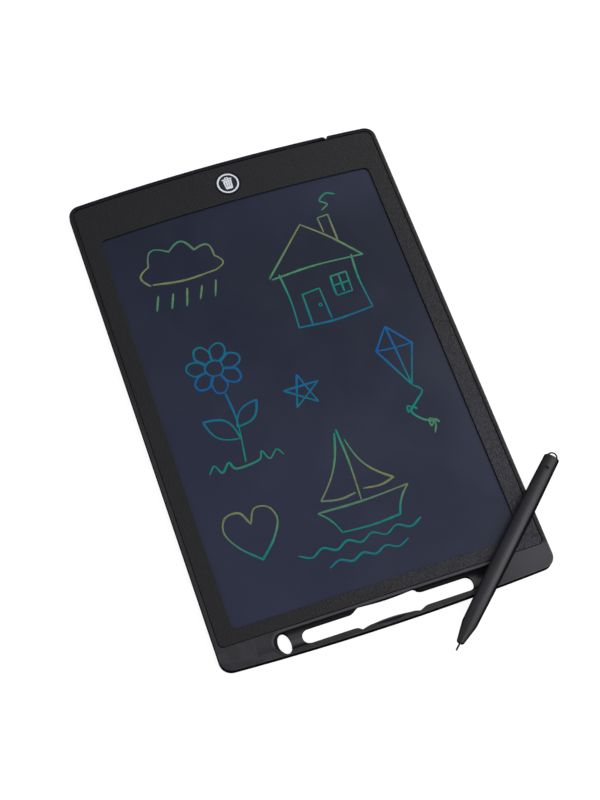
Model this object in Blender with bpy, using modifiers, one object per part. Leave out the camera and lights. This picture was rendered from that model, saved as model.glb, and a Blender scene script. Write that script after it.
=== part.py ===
"""LCD writing tablet with its stylus, as an assembly of separate pieces.

Metres, +Z up. The tablet lies on its rear face at z = 0 with its writing side up. +Y points to
the edge with the erase key and +X to the right of someone who writes on it. The origin is the
middle of the rear face. The stylus lies across the lower right corner of the tablet.
"""
import math

import bmesh
import bpy
from mathutils import Euler, Matrix, Vector

# Drawing settings
MERGE_DISTANCE = 0.000001
CUT_OVERRUN = 0.002
CROWN_STEPS = 12
CORNER_STEPS = 9
ROUND_STEPS = 56
SMALL_ROUND_STEPS = 20
SMOOTH_ANGLE = math.radians(35)

# Tablet body
BODY_WIDTH = 0.187
BODY_LENGTH = 0.291
BODY_THICKNESS = 0.0055
TOP_EDGE_SAG = 0.0034
BOTTOM_EDGE_SAG = 0.0028
TOP_CORNER_RADIUS = 0.0068
BOTTOM_CORNER_RADIUS = 0.0068
BODY_EDGE_ROUND = 0.0007
BODY_EDGE_STEPS = 2

# Clearances
SHEET_GAP = 0.0001
RUNNING_GAP = 0.0003
GROOVE_WIDTH = 0.0004

# Outer frame
RIM_WIDTH = 0.0023
LEDGE_WIDTH = 0.0014
BOTTOM_BAND_HEIGHT = 0.0156
POCKET_LOWER_CORNER_RADIUS = 0.0028

# Pen trough, slot, finger cut and oval hole in the bottom band
TROUGH_WIDTH = 0.0106
TROUGH_LENGTH = 0.1272
TROUGH_DEPTH = 0.0033
TROUGH_OFFSET = 0.0087
SLOT_LENGTH = 0.0959
SLOT_WIDTH = 0.0084
SLOT_OFFSET = 0.0081
SLOT_END_ROUND_SHARE = 0.96
FINGER_LENGTH = 0.0306
FINGER_SLOPE = 0.0044
FINGER_FAR_STEP = 0.0021
FINGER_NEAR_STEP = 0.0019
FINGER_FAR_BULGE = 0.0009
FINGER_NEAR_BULGE = 0.0022
FINGER_NEAR_EXTRA = 0.0018
FINGER_OUTER_ROUND = 0.0045
FINGER_INNER_ROUND = 0.0006
SCOOP_LENGTH = 0.0316
SCOOP_WIDTH = 0.0082
SCOOP_DEPTH = 0.0024
SCOOP_OFFSET = 0.0057
RELIEF_LENGTH = 0.043
RELIEF_WIDTH = 0.0024
RELIEF_DEPTH = 0.0032
RELIEF_OFFSET = 0.0141
PEN_HOLE_WIDTH = 0.007
PEN_HOLE_HEIGHT = 0.012
PEN_HOLE_MARGIN = 0.0022
PEN_HOLE_OFFSET = 0.008

# Front panel and window
PANEL_THICKNESS = 0.0009
PANEL_RECESS = 0.00025
PANEL_EDGE_ROUND = 0.00015
WINDOW_SIDE_INSET = 0.0121
WINDOW_TOP_INSET = 0.0263
WINDOW_FROM_BAND = 0.0076
WINDOW_CORNER_RADIUS = 0.0033

# Writing film, backing sheet and support plate
FILM_THICKNESS = 0.0007
FILM_OVERLAP = 0.0024
FILM_TOP_OVERLAP = 0.0019
FILM_CORNER_RADIUS = 0.0015
BACKING_THICKNESS = 0.0005
SUPPORT_THICKNESS = 0.0012
SUPPORT_MARGIN = 0.0016

# Back cover
COVER_THICKNESS = 0.001
COVER_EDGE_ROUND = 0.0002
RIB_WIDTH = 0.001
RIB_COLUMNS = 6
RIB_ROWS = 8

# Erase key and its switch
KEY_INSET = 0.0147
KEY_DIAMETER = 0.0144
KEY_PROUD = 0.0001
KEY_FLANGE_WIDTH = 0.0012
KEY_FLANGE_THICKNESS = 0.00045
KEY_TRAVEL = 0.0003
KEY_EDGE_ROUND = 0.0002
SWITCH_SIZE = 0.0042
SWITCH_HEIGHT = 0.0005
PLUNGER_DIAMETER = 0.0018

# Circuit board and its components
BOARD_THICKNESS = 0.0008
BOARD_HEIGHT = 0.002
BOARD_LEFT_LENGTH = 0.060
BOARD_RIGHT_LENGTH = 0.0386
BOARD_DEPTH = 0.0142
BOARD_EDGE_MARGIN = 0.0007
CHIP_SIZE = (0.0049, 0.0039, 0.0012)
CHIP_PLACE = (0.0185, 0.0)
INDUCTOR_DIAMETER = 0.004
INDUCTOR_HEIGHT = 0.0012
INDUCTOR_PLACE = (0.0265, -0.003)
CAPACITOR_SIZE = (0.002, 0.00125, 0.0009)
CAPACITOR_PLACES = ((0.0265, 0.0035), (0.0125, 0.0042))
DIODE_SIZE = (0.0026, 0.0016, 0.001)
DIODE_PLACE = (0.0312, 0.0035)
COMPONENT_ROUND = 0.00012
TAIL_WIDTH = 0.007
TAIL_THICKNESS = 0.00015
TAIL_SPACING = 0.034
TAIL_SHIFT = -0.0042
TAIL_REACH = 0.0055
TAIL_BEND = 0.0014

# Battery tray, coin cell and contacts
TRAY_CENTRE_X = 0.0514
TRAY_WIDTH = 0.023
TRAY_FLOOR = 0.0005
TRAY_HEIGHT = 0.0023
TRAY_HEIGHT_OVER_COVER = 0.0004
TRAY_SIDE_GAP = 0.0002
TRAY_INNER_CLEARANCE = 0.0006
TRAY_SLOT_WIDTH = 0.0104
CELL_DIAMETER = 0.020
CELL_THICKNESS = 0.0016
CELL_EDGE_ROUND = 0.0002
CONTACT_THICKNESS = 0.0002
CONTACT_WIDTH = 0.004
CONTACT_FOOT = 0.0026
CONTACT_REACH = 0.0096
NEGATIVE_TONGUE = 0.0034
NEGATIVE_RAMP = 0.0016
CONTACT_SPREAD = 0.003
NOTCH_WIDTH = 0.0031
NOTCH_DEPTH = 0.0021

# Erase lock on the rear
LOCK_CENTRE_X = -0.051
LOCK_TRAVEL = 0.003
LOCK_KNOB_LENGTH = 0.006
LOCK_KNOB_WIDTH = 0.004
LOCK_RECESS = 0.0002
LOCK_FLANGE_MARGIN = 0.0012
LOCK_FLANGE_THICKNESS = 0.00045
LOCK_GRIP_COUNT = 4
LOCK_GRIP_WIDTH = 0.0005
LOCK_GRIP_DEPTH = 0.0002
LOCK_PIN_LENGTH = 0.0016
LOCK_PIN_WIDTH = 0.0013
LOCK_PIN_HEIGHT = 0.0015
LOCK_FORK_WIDTH = 0.0006
LOCK_FORK_HEIGHT = 0.00025
LOCK_SWITCH_LENGTH = 0.009
LOCK_SWITCH_WIDTH = 0.0038
LOCK_SWITCH_HEIGHT = 0.0011
LOCK_SWITCH_ROOF = 0.0004

# Stylus
PEN_FROM_CORNER = (-0.06634, -0.02195)
PEN_TURN = math.radians(43.13)
PEN_LENGTH = 0.1174
PEN_WIDTH = 0.0096
PEN_HEIGHT = 0.0074
PEN_TAIL_WIDTH = 0.0087
PEN_SHOULDER_WIDTH = 0.0084
PEN_NOSE_LENGTH = 0.0118
PEN_NOSE_WIDTH = 0.0042
PEN_NOSE_ROUND = 0.0007
PEN_WALL = 0.0013
PEN_BODY_STEPS = 8
PEN_ROUND_STEPS = 32
TIP_DIAMETER = 0.001
TIP_OUT = 0.0043
TIP_SHANK_DIAMETER = 0.0022
TIP_SHANK_LENGTH = 0.009
TIP_SHANK_START = 0.003
TIP_ROUND_STEPS = 3
PLUG_CAP = 0.0014
PLUG_CAP_ROUND = 0.0006
PLUG_ROUND_STEPS = 3
PLUG_STEM = 0.005
LOOP_WIDTH = 0.0063
LOOP_REACH = 0.0032
LOOP_THICKNESS = 0.0009
LOOP_STEPS = 14
DIMPLE_DIAMETER = 0.0022
DIMPLE_DEPTH = 0.0008
DIMPLE_FROM_TAIL = 0.0083

# Heights and places that follow from the sizes above
HALF_WIDTH = BODY_WIDTH / 2
TOP_Y = BODY_LENGTH / 2
BOTTOM_Y = -BODY_LENGTH / 2
BAND_Y = BOTTOM_Y + BOTTOM_BAND_HEIGHT
PANEL_TOP_Z = BODY_THICKNESS - PANEL_RECESS
PANEL_LOW_Z = PANEL_TOP_Z - PANEL_THICKNESS
FILM_TOP_Z = PANEL_LOW_Z - SHEET_GAP
FILM_LOW_Z = FILM_TOP_Z - FILM_THICKNESS
BACKING_TOP_Z = FILM_LOW_Z - SHEET_GAP
BACKING_LOW_Z = BACKING_TOP_Z - BACKING_THICKNESS
SUPPORT_TOP_Z = BACKING_LOW_Z - SHEET_GAP
SUPPORT_LOW_Z = SUPPORT_TOP_Z - SUPPORT_THICKNESS
RIB_TOP_Z = SUPPORT_LOW_Z - SHEET_GAP
WINDOW_HALF_WIDTH = HALF_WIDTH - WINDOW_SIDE_INSET
FILM_HALF_WIDTH = WINDOW_HALF_WIDTH + FILM_OVERLAP
FILM_TOP_Y = TOP_Y - WINDOW_TOP_INSET + FILM_TOP_OVERLAP
WINDOW_BOTTOM_Y = BAND_Y + WINDOW_FROM_BAND
FILM_BOTTOM_Y = WINDOW_BOTTOM_Y - FILM_OVERLAP
TROUGH_Y = BOTTOM_Y + TROUGH_OFFSET
SLOT_Y = BOTTOM_Y + SLOT_OFFSET
KEY_Y = TOP_Y - KEY_INSET
KEY_FLANGE_TOP_Z = PANEL_LOW_Z - SHEET_GAP
KEY_LOW_Z = KEY_FLANGE_TOP_Z - KEY_FLANGE_THICKNESS
BOARD_TOP_Z = BOARD_HEIGHT + BOARD_THICKNESS
PART_SEAT_Z = BOARD_TOP_Z + SHEET_GAP
TRAY_LOW_Z = COVER_THICKNESS + TRAY_HEIGHT_OVER_COVER
TRAY_TOP_Z = TRAY_LOW_Z + TRAY_HEIGHT
TRAY_INNER_Y = FILM_TOP_Y + TRAY_INNER_CLEARANCE
CELL_LOW_Z = TRAY_LOW_Z + TRAY_FLOOR + SHEET_GAP
CELL_Y = TRAY_INNER_Y + 2 * TRAY_INNER_CLEARANCE + CELL_DIAMETER / 2
PEN_X = HALF_WIDTH + PEN_FROM_CORNER[0]
PEN_Y = BOTTOM_Y + PEN_FROM_CORNER[1]

COLLECTION_NAME = "lcd_writing_tablet"


def clear_scene():
    """Remove what the scene holds."""
    for thing in list(bpy.data.objects):
        bpy.data.objects.remove(thing, do_unlink=True)


def make_collection(name):
    """Add a collection to the scene."""
    collection = bpy.data.collections.new(name)
    bpy.context.scene.collection.children.link(collection)
    return collection


def make_material(name, colour, roughness, metallic=0.0):
    """Plain Principled material."""
    material = bpy.data.materials.new(name)
    material.use_nodes = True
    shader = material.node_tree.nodes["Principled BSDF"]
    shader.inputs["Base Color"].default_value = (*colour, 1.0)
    shader.inputs["Roughness"].default_value = roughness
    shader.inputs["Metallic"].default_value = metallic
    material.diffuse_color = (*colour, 1.0)
    return material


def add_object(name, mesh, location=(0, 0, 0), parent=None):
    """Put a mesh in the parts collection."""
    thing = bpy.data.objects.new(name, mesh)
    thing.location = location
    thing.parent = parent
    parts.objects.link(thing)
    return thing


def make_cutter(thing):
    """Move an object to the cutters, which the build leaves out."""
    for collection in list(thing.users_collection):
        collection.objects.unlink(thing)
    cutters.objects.link(thing)
    thing.hide_render = True
    thing.display_type = "WIRE"
    return thing


def add_empty(name, location, turn=0.0):
    """Empty that stands on the joint axis of a moving group."""
    empty = bpy.data.objects.new(name, None)
    empty.location = location
    empty.rotation_euler = Euler((0, 0, turn))
    parts.objects.link(empty)
    return empty


def boolean(target, tool, operation):
    """Add an exact Boolean modifier with a tool object."""
    modifier = target.modifiers.new(tool.name, "BOOLEAN")
    modifier.operation = operation
    modifier.solver = "EXACT"
    modifier.object = make_cutter(tool)


def cut(target, *tools):
    """Take tool objects away from a piece."""
    for tool in tools:
        boolean(target, tool, "DIFFERENCE")


def unite(target, *tools):
    """Add tool objects to a piece as one body."""
    for tool in tools:
        boolean(target, tool, "UNION")


def round_edges(target, width, steps=2):
    """Round the sharp edges of a piece."""
    modifier = target.modifiers.new("round_edges", "BEVEL")
    modifier.width = width
    modifier.segments = steps
    modifier.limit_method = "ANGLE"
    modifier.angle_limit = SMOOTH_ANGLE


def finish(thing, material):
    """Give a piece its material and smooth shading over its round stretches."""
    thing.data.materials.clear()
    thing.data.materials.append(material)
    thing.data.shade_smooth()
    thing.data.set_sharp_from_angle(angle=SMOOTH_ANGLE)
    return thing


def evaluated_mesh(thing):
    """Welded mesh of an object with its modifiers or curve settings."""
    bpy.context.view_layer.update()
    graph = bpy.context.evaluated_depsgraph_get()
    mesh = bpy.data.meshes.new_from_object(thing.evaluated_get(graph))
    work = bmesh.new()
    work.from_mesh(mesh)
    bmesh.ops.remove_doubles(work, verts=work.verts, dist=MERGE_DISTANCE)
    bmesh.ops.recalc_face_normals(work, faces=work.faces)
    work.to_mesh(mesh)
    work.free()
    return mesh


def as_mesh(thing):
    """Replace a curve, or an object with modifiers, by a plain mesh object in its place."""
    name, parent = thing.name, thing.parent
    location, turn, scale = thing.location.copy(), thing.rotation_euler.copy(), thing.scale.copy()
    mesh = evaluated_mesh(thing)
    bpy.data.objects.remove(thing, do_unlink=True)
    solid = add_object(name, mesh, location, parent)
    solid.rotation_euler = turn
    solid.scale = scale
    return solid


def box(name, low, high, parent=None):
    """Box between two corners, with its origin in its middle."""
    low, high = Vector(low), Vector(high)
    work = bmesh.new()
    bmesh.ops.create_cube(work, size=1.0, matrix=Matrix.Diagonal((*(high - low), 1.0)))
    mesh = bpy.data.meshes.new(name)
    work.to_mesh(mesh)
    work.free()
    return add_object(name, mesh, (low + high) / 2, parent)


def seated_box(name, size, middle, seat, parent=None):
    """Box of a given size that stands on a height."""
    half = Vector((size[0] / 2, size[1] / 2, 0))
    low = Vector((middle[0], middle[1], seat)) - half
    high = low + Vector(size)
    return box(name, low, high, parent)


def cylinder(name, diameter, middle, low, high, parent=None, steps=ROUND_STEPS):
    """Upright cylinder between two heights."""
    work = bmesh.new()
    bmesh.ops.create_cone(work, cap_ends=True, segments=steps, radius1=diameter / 2,
                          radius2=diameter / 2, depth=high - low)
    mesh = bpy.data.meshes.new(name)
    work.to_mesh(mesh)
    work.free()
    return add_object(name, mesh, (middle[0], middle[1], (low + high) / 2), parent)


def round_corners(points, radii):
    """Outline with some corners rounded; radii maps a point's number to its radius."""
    outline = []
    for number, corner in enumerate(points):
        radius = radii.get(number)
        if not radius:
            outline.append(corner)
            continue
        before, after = points[number - 1], points[(number + 1) % len(points)]
        to_before, to_after = (before - corner).normalized(), (after - corner).normalized()
        half_angle = to_before.angle(to_after) / 2
        bisector = (to_before + to_after).normalized()
        middle = corner + bisector * (radius / math.sin(half_angle))
        start = corner + to_before * (radius / math.tan(half_angle)) - middle
        sweep = math.copysign(math.pi - 2 * half_angle, -to_before.cross(to_after))
        for step in range(CORNER_STEPS + 1):
            outline.append(middle + Matrix.Rotation(sweep * step / CORNER_STEPS, 2) @ start)
    return outline


def crowned_line(half_width, middle_y, sag):
    """Points from left to right along an edge that falls by sag at the body's full width."""
    steps = CROWN_STEPS if sag else 1
    places = [half_width * (2 * step / steps - 1) for step in range(steps + 1)]
    return [Vector((x, middle_y - sag * (x / HALF_WIDTH) ** 2)) for x in places]


def plate_outline(half_width, top_y, bottom_y, top_radius, bottom_radius, top_sag=0.0,
                  bottom_sag=0.0):
    """Outline of a plate with straight sides, and ends that may be crowned."""
    lower = crowned_line(half_width, bottom_y, -bottom_sag)
    upper = crowned_line(half_width, top_y, top_sag)[::-1]
    last = len(lower) - 1
    end = len(lower) + len(upper) - 1
    radii = {0: bottom_radius, last: bottom_radius, last + 1: top_radius, end: top_radius}
    return round_corners(lower + upper, radii)


def ellipse_outline(width, height, middle, steps=ROUND_STEPS):
    """Outline of an ellipse."""
    turns = [math.tau * step / steps for step in range(steps)]
    return [Vector((middle[0] + width / 2 * math.cos(turn), middle[1] + height / 2 * math.sin(turn)))
            for turn in turns]


def plate(name, outlines, low, high, edge_round=0.0, edge_steps=1, parent=None):
    """Flat plate between two heights from closed outlines; the inner ones are holes."""
    curve = bpy.data.curves.new(name, "CURVE")
    curve.dimensions = "2D"
    curve.fill_mode = "BOTH"
    curve.extrude = (high - low) / 2 - edge_round
    curve.bevel_depth = edge_round
    curve.bevel_resolution = edge_steps
    curve.offset = -edge_round
    for outline in outlines:
        spline = curve.splines.new("POLY")
        spline.points.add(len(outline) - 1)
        for point, place in zip(spline.points, outline):
            point.co = (place[0], place[1], 0, 1)
        spline.use_cyclic_u = True
    return as_mesh(add_object(name, curve, (0, 0, (low + high) / 2), parent))


def bent_strip(name, path, thickness, width, place, turn, parent=None):
    """Strip of sheet bent along a path that is drawn in a plane and swept to both sides."""
    sides = []
    for side in (thickness / 2, -thickness / 2):
        for number, point in enumerate(path):
            back = path[max(number - 1, 0)]
            ahead = path[min(number + 1, len(path) - 1)]
            along = (Vector(ahead) - Vector(back)).normalized()
            sides.append((Vector(point) + Vector((-along.y, along.x)) * side, side > 0))
    upper = [point for point, is_upper in sides if is_upper]
    lower = [point for point, is_upper in sides if not is_upper]
    strip = plate(name, [upper + lower[::-1]], -width / 2, width / 2, parent=parent)
    strip.location = place
    strip.rotation_euler = turn
    return strip


def turned(name, profile, steps, parent=None):
    """Solid of revolution about its own Z from a profile that runs from its top down."""
    work = bmesh.new()
    points = [work.verts.new((radius, 0, height)) for radius, height in profile]
    for first, second in zip(points, points[1:]):
        work.edges.new((first, second))
    mesh = bpy.data.meshes.new(name)
    work.to_mesh(mesh)
    work.free()
    thing = add_object(name, mesh, parent=parent)
    screw = thing.modifiers.new("turn", "SCREW")
    screw.steps = screw.render_steps = steps
    screw.use_merge_vertices = True
    screw.merge_threshold = MERGE_DISTANCE
    return as_mesh(thing)


def body_outline(inset=0.0):
    """Outer outline of the tablet, or a line that runs inside it at a distance."""
    return plate_outline(HALF_WIDTH - inset, TOP_Y - inset, BOTTOM_Y + inset,
                         TOP_CORNER_RADIUS - inset, BOTTOM_CORNER_RADIUS - inset,
                         TOP_EDGE_SAG, BOTTOM_EDGE_SAG)


def pocket_outline(inset):
    """Line inside the rim, closed at the bottom band by a straight edge."""
    lower_inset = inset - RIM_WIDTH
    return plate_outline(HALF_WIDTH - inset, TOP_Y - inset, BAND_Y + lower_inset,
                         TOP_CORNER_RADIUS - RIM_WIDTH, POCKET_LOWER_CORNER_RADIUS, TOP_EDGE_SAG)


def window_outline():
    """Outline of the screen window."""
    return plate_outline(WINDOW_HALF_WIDTH, TOP_Y - WINDOW_TOP_INSET, WINDOW_BOTTOM_Y,
                         WINDOW_CORNER_RADIUS, WINDOW_CORNER_RADIUS, TOP_EDGE_SAG)


def film_outline(grow=0.0):
    """Outline of the writing film, or a line around it at a distance."""
    return plate_outline(FILM_HALF_WIDTH + grow, FILM_TOP_Y, FILM_BOTTOM_Y - grow,
                         FILM_CORNER_RADIUS, FILM_CORNER_RADIUS)


def slot_outline():
    """Outline of the long slot with the wider finger cut in its middle."""
    near, far = SLOT_Y - SLOT_WIDTH / 2, SLOT_Y + SLOT_WIDTH / 2
    end, inner = SLOT_LENGTH / 2, FINGER_LENGTH / 2
    outer = inner + FINGER_SLOPE
    shares = [2 * step / CROWN_STEPS - 1 for step in range(CROWN_STEPS + 1)]
    near_arc = [Vector((share * (inner + FINGER_NEAR_EXTRA / 2) - FINGER_NEAR_EXTRA / 2,
                        near - FINGER_NEAR_STEP + FINGER_NEAR_BULGE * (1 - share ** 2)))
                for share in shares]
    far_arc = [Vector((share * inner,
                       far + FINGER_FAR_STEP - FINGER_FAR_BULGE * (1 - share ** 2)))
               for share in reversed(shares)]
    points = [Vector((-end, near)), Vector((-outer, near)), *near_arc,
              Vector((outer, near)), Vector((end, near)), Vector((end, far)),
              Vector((outer, far)), *far_arc, Vector((-outer, far)), Vector((-end, far))]
    count = len(near_arc)
    end_round = SLOT_WIDTH / 2 * SLOT_END_ROUND_SHARE
    radii = {0: end_round, 1: FINGER_OUTER_ROUND, 2: FINGER_INNER_ROUND,
             count + 1: FINGER_INNER_ROUND, count + 2: FINGER_OUTER_ROUND, count + 3: end_round,
             count + 4: end_round, count + 5: FINGER_OUTER_ROUND, count + 6: FINGER_INNER_ROUND,
             2 * count + 5: FINGER_INNER_ROUND, 2 * count + 6: FINGER_OUTER_ROUND,
             2 * count + 7: end_round}
    return round_corners(points, radii)


def trough_cutter():
    """Long capsule that leaves the half-round trough with its rounded ends."""
    half_chord = TROUGH_WIDTH / 2
    radius = (half_chord ** 2 + TROUGH_DEPTH ** 2) / (2 * TROUGH_DEPTH)
    run = TROUGH_LENGTH / 2 - half_chord
    quarter = [math.pi / 2 * step / CORNER_STEPS for step in range(CORNER_STEPS + 1)]
    upper = [(radius * math.sin(turn), run + radius * math.cos(turn)) for turn in quarter]
    profile = upper + [(across, -along) for across, along in reversed(upper)]
    profile[0] = (0.0, profile[0][1])
    profile[-1] = (0.0, profile[-1][1])
    tool = turned("trough_cutter", profile, ROUND_STEPS)
    tool.rotation_euler = Euler((0, math.pi / 2, 0))
    tool.location = (0, TROUGH_Y, BODY_THICKNESS - TROUGH_DEPTH + radius)
    return tool


def ellipsoid(name, length, width, depth, place):
    """Ellipsoid around a place, to hollow a face."""
    work = bmesh.new()
    bmesh.ops.create_uvsphere(work, u_segments=ROUND_STEPS, v_segments=SMALL_ROUND_STEPS,
                              radius=1.0, matrix=Matrix.Diagonal((length / 2, width / 2, depth, 1.0)))
    mesh = bpy.data.meshes.new(name)
    work.to_mesh(mesh)
    work.free()
    return add_object(name, mesh, place)


def scoop_cutter():
    """Hollow in the lower bar's upper face beside the finger cut."""
    return ellipsoid("scoop_cutter", SCOOP_LENGTH, SCOOP_WIDTH, SCOOP_DEPTH,
                     (0, BOTTOM_Y + SCOOP_OFFSET, BODY_THICKNESS))


def relief_cutter():
    """Hollow in the band's rear face that thins the far edge of the finger cut."""
    return ellipsoid("relief_cutter", RELIEF_LENGTH, RELIEF_WIDTH, RELIEF_DEPTH,
                     (0, BOTTOM_Y + RELIEF_OFFSET, 0))


def pen_hole_middle():
    """Middle of the oval hole at the left end of the trough."""
    left = -TROUGH_LENGTH / 2 + PEN_HOLE_MARGIN
    return (left + PEN_HOLE_WIDTH / 2, BOTTOM_Y + PEN_HOLE_OFFSET)


def notch_cutter():
    """V-shaped nail notch beside the battery tray."""
    left = TRAY_CENTRE_X + TRAY_WIDTH / 2
    edge = TOP_Y - TOP_EDGE_SAG * (left / HALF_WIDTH) ** 2
    slope = NOTCH_WIDTH / 2 / NOTCH_DEPTH
    reach = CUT_OVERRUN * slope
    points = [Vector((left - reach, edge + CUT_OVERRUN)),
              Vector((left + NOTCH_WIDTH / 2, edge - NOTCH_DEPTH)),
              Vector((left + NOTCH_WIDTH + reach, edge + CUT_OVERRUN))]
    return plate("notch_cutter", [points], -CUT_OVERRUN, BODY_THICKNESS + CUT_OVERRUN)


def tray_bay(gap, low, inner_y):
    """Box across the top rim that the tray's front, or its opening, fills."""
    return ((TRAY_CENTRE_X - TRAY_WIDTH / 2 - gap, inner_y, low),
            (TRAY_CENTRE_X + TRAY_WIDTH / 2 + gap, TOP_Y + CUT_OVERRUN,
             BODY_THICKNESS + CUT_OVERRUN))


def tray_front_y():
    """Inner side of the tray's front block."""
    return TOP_Y - RIM_WIDTH - TOP_EDGE_SAG * (TRAY_CENTRE_X / HALF_WIDTH) ** 2


def build_outer_frame(material):
    """Rim and bottom band in one moulding, open in the middle."""
    frame = plate("outer_frame", [body_outline()], 0.0, BODY_THICKNESS, BODY_EDGE_ROUND,
                  BODY_EDGE_STEPS)
    top = BODY_THICKNESS + CUT_OVERRUN
    bay_inner_y = tray_front_y() - 2 * LEDGE_WIDTH
    bay = box("tray_bay_cutter", *tray_bay(TRAY_SIDE_GAP, TRAY_LOW_Z - RUNNING_GAP, bay_inner_y))
    cut(frame,
        plate("panel_pocket_cutter", [pocket_outline(RIM_WIDTH)], PANEL_LOW_Z - SHEET_GAP, top),
        plate("cover_pocket_cutter", [pocket_outline(RIM_WIDTH)], -CUT_OVERRUN,
              COVER_THICKNESS + SHEET_GAP),
        plate("core_cutter", [pocket_outline(RIM_WIDTH + LEDGE_WIDTH)], -CUT_OVERRUN, top),
        trough_cutter(),
        scoop_cutter(),
        relief_cutter(),
        plate("slot_cutter", [slot_outline()], -CUT_OVERRUN, top),
        plate("pen_hole_cutter",
              [ellipse_outline(PEN_HOLE_WIDTH, PEN_HOLE_HEIGHT, pen_hole_middle())],
              -CUT_OVERRUN, top),
        notch_cutter(),
        bay)
    return finish(frame, material)


def build_back_cover(material):
    """Rear plate with a grid of ribs that carries the support plate."""
    cover = plate("back_cover", [pocket_outline(RIM_WIDTH + GROOVE_WIDTH)], 0.0, COVER_THICKNESS,
                  COVER_EDGE_ROUND)
    outline = plate_outline(FILM_HALF_WIDTH, FILM_TOP_Y - TRAY_INNER_CLEARANCE, FILM_BOTTOM_Y,
                            FILM_CORNER_RADIUS, FILM_CORNER_RADIUS)
    ribs = plate("rib_grid", [outline], COVER_THICKNESS / 2, RIB_TOP_Z)
    width = (2 * FILM_HALF_WIDTH - RIB_WIDTH) / RIB_COLUMNS
    height = (FILM_TOP_Y - TRAY_INNER_CLEARANCE - FILM_BOTTOM_Y - RIB_WIDTH) / RIB_ROWS
    for column in range(RIB_COLUMNS):
        for row in range(RIB_ROWS):
            left = -FILM_HALF_WIDTH + RIB_WIDTH + column * width
            lower = FILM_BOTTOM_Y + RIB_WIDTH + row * height
            cut(ribs, box(f"cell_cutter_{column}_{row}", (left, lower, 0.0),
                          (left + width - RIB_WIDTH, lower + height - RIB_WIDTH,
                           RIB_TOP_Z + CUT_OVERRUN)))
    unite(cover, as_mesh(ribs))
    slot_half = LOCK_KNOB_LENGTH / 2 + LOCK_TRAVEL / 2 + RUNNING_GAP
    side = LOCK_KNOB_WIDTH / 2 + RUNNING_GAP
    cut(cover, box("lock_slot_cutter", (LOCK_CENTRE_X - slot_half, KEY_Y - side, -CUT_OVERRUN),
                   (LOCK_CENTRE_X + slot_half, KEY_Y + side, COVER_THICKNESS + CUT_OVERRUN)))
    return finish(cover, material)


def build_front_panel(material):
    """Fine-grained bezel plate with the window and the round hole for the key."""
    hole = ellipse_outline(KEY_DIAMETER + 2 * GROOVE_WIDTH, KEY_DIAMETER + 2 * GROOVE_WIDTH,
                           (0, KEY_Y))
    panel = plate("front_panel", [pocket_outline(RIM_WIDTH + GROOVE_WIDTH), window_outline(), hole],
                  PANEL_LOW_Z, PANEL_TOP_Z, PANEL_EDGE_ROUND)
    return finish(panel, material)


def build_screen(film_material, backing_material, support_material):
    """Writing film, dark backing sheet and the plate that stiffens them."""
    finish(plate("lcd_film", [film_outline()], FILM_LOW_Z, FILM_TOP_Z), film_material)
    finish(plate("lcd_backing", [film_outline()], BACKING_LOW_Z, BACKING_TOP_Z), backing_material)
    finish(plate("support_plate", [film_outline(SUPPORT_MARGIN)], SUPPORT_LOW_Z, SUPPORT_TOP_Z),
           support_material)


def build_key(key_material, plunger_material):
    """Erase key with its flange, and the plunger of the switch that it presses."""
    axis = add_empty("erase_key_axis", (0, KEY_Y, 0))
    key = cylinder("erase_key", KEY_DIAMETER, (0, 0), KEY_LOW_Z, PANEL_TOP_Z + KEY_PROUD, axis)
    flange = cylinder("key_flange", KEY_DIAMETER + 2 * GROOVE_WIDTH + 2 * KEY_FLANGE_WIDTH, (0, 0),
                      KEY_LOW_Z, KEY_FLANGE_TOP_Z, axis)
    unite(key, flange)
    round_edges(key, KEY_EDGE_ROUND, 1)
    finish(key, key_material)
    plunger = cylinder("tact_switch_plunger", PLUNGER_DIAMETER, (0, 0), PART_SEAT_Z + KEY_TRAVEL,
                       KEY_LOW_Z - SHEET_GAP, axis, SMALL_ROUND_STEPS)
    finish(plunger, plunger_material)


def build_switch(material):
    """Low tact switch on the board under the key, open above for its plunger."""
    body = seated_box("tact_switch_body", (SWITCH_SIZE, SWITCH_SIZE, SWITCH_HEIGHT), (0, KEY_Y),
                      PART_SEAT_Z)
    cut(body, cylinder("plunger_hole_cutter", PLUNGER_DIAMETER + 2 * RUNNING_GAP, (0, KEY_Y),
                       BOARD_TOP_Z, PART_SEAT_Z + SWITCH_HEIGHT + CUT_OVERRUN,
                       steps=SMALL_ROUND_STEPS))
    return finish(body, material)


def build_board(material):
    """Narrow circuit board above the screen, with a slot for the pin of the erase lock."""
    low_y = FILM_TOP_Y + SUPPORT_MARGIN + BOARD_EDGE_MARGIN
    board = box("circuit_board", (-BOARD_LEFT_LENGTH, low_y, BOARD_HEIGHT),
                (BOARD_RIGHT_LENGTH, low_y + BOARD_DEPTH, BOARD_TOP_Z))
    slot_half = LOCK_PIN_LENGTH / 2 + LOCK_TRAVEL / 2 + RUNNING_GAP
    side = LOCK_PIN_WIDTH / 2 + RUNNING_GAP
    cut(board, box("board_slot_cutter",
                   (LOCK_CENTRE_X - slot_half, KEY_Y - side, BOARD_HEIGHT - CUT_OVERRUN),
                   (LOCK_CENTRE_X + slot_half, KEY_Y + side, BOARD_TOP_Z + CUT_OVERRUN)))
    return finish(board, material)


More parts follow.
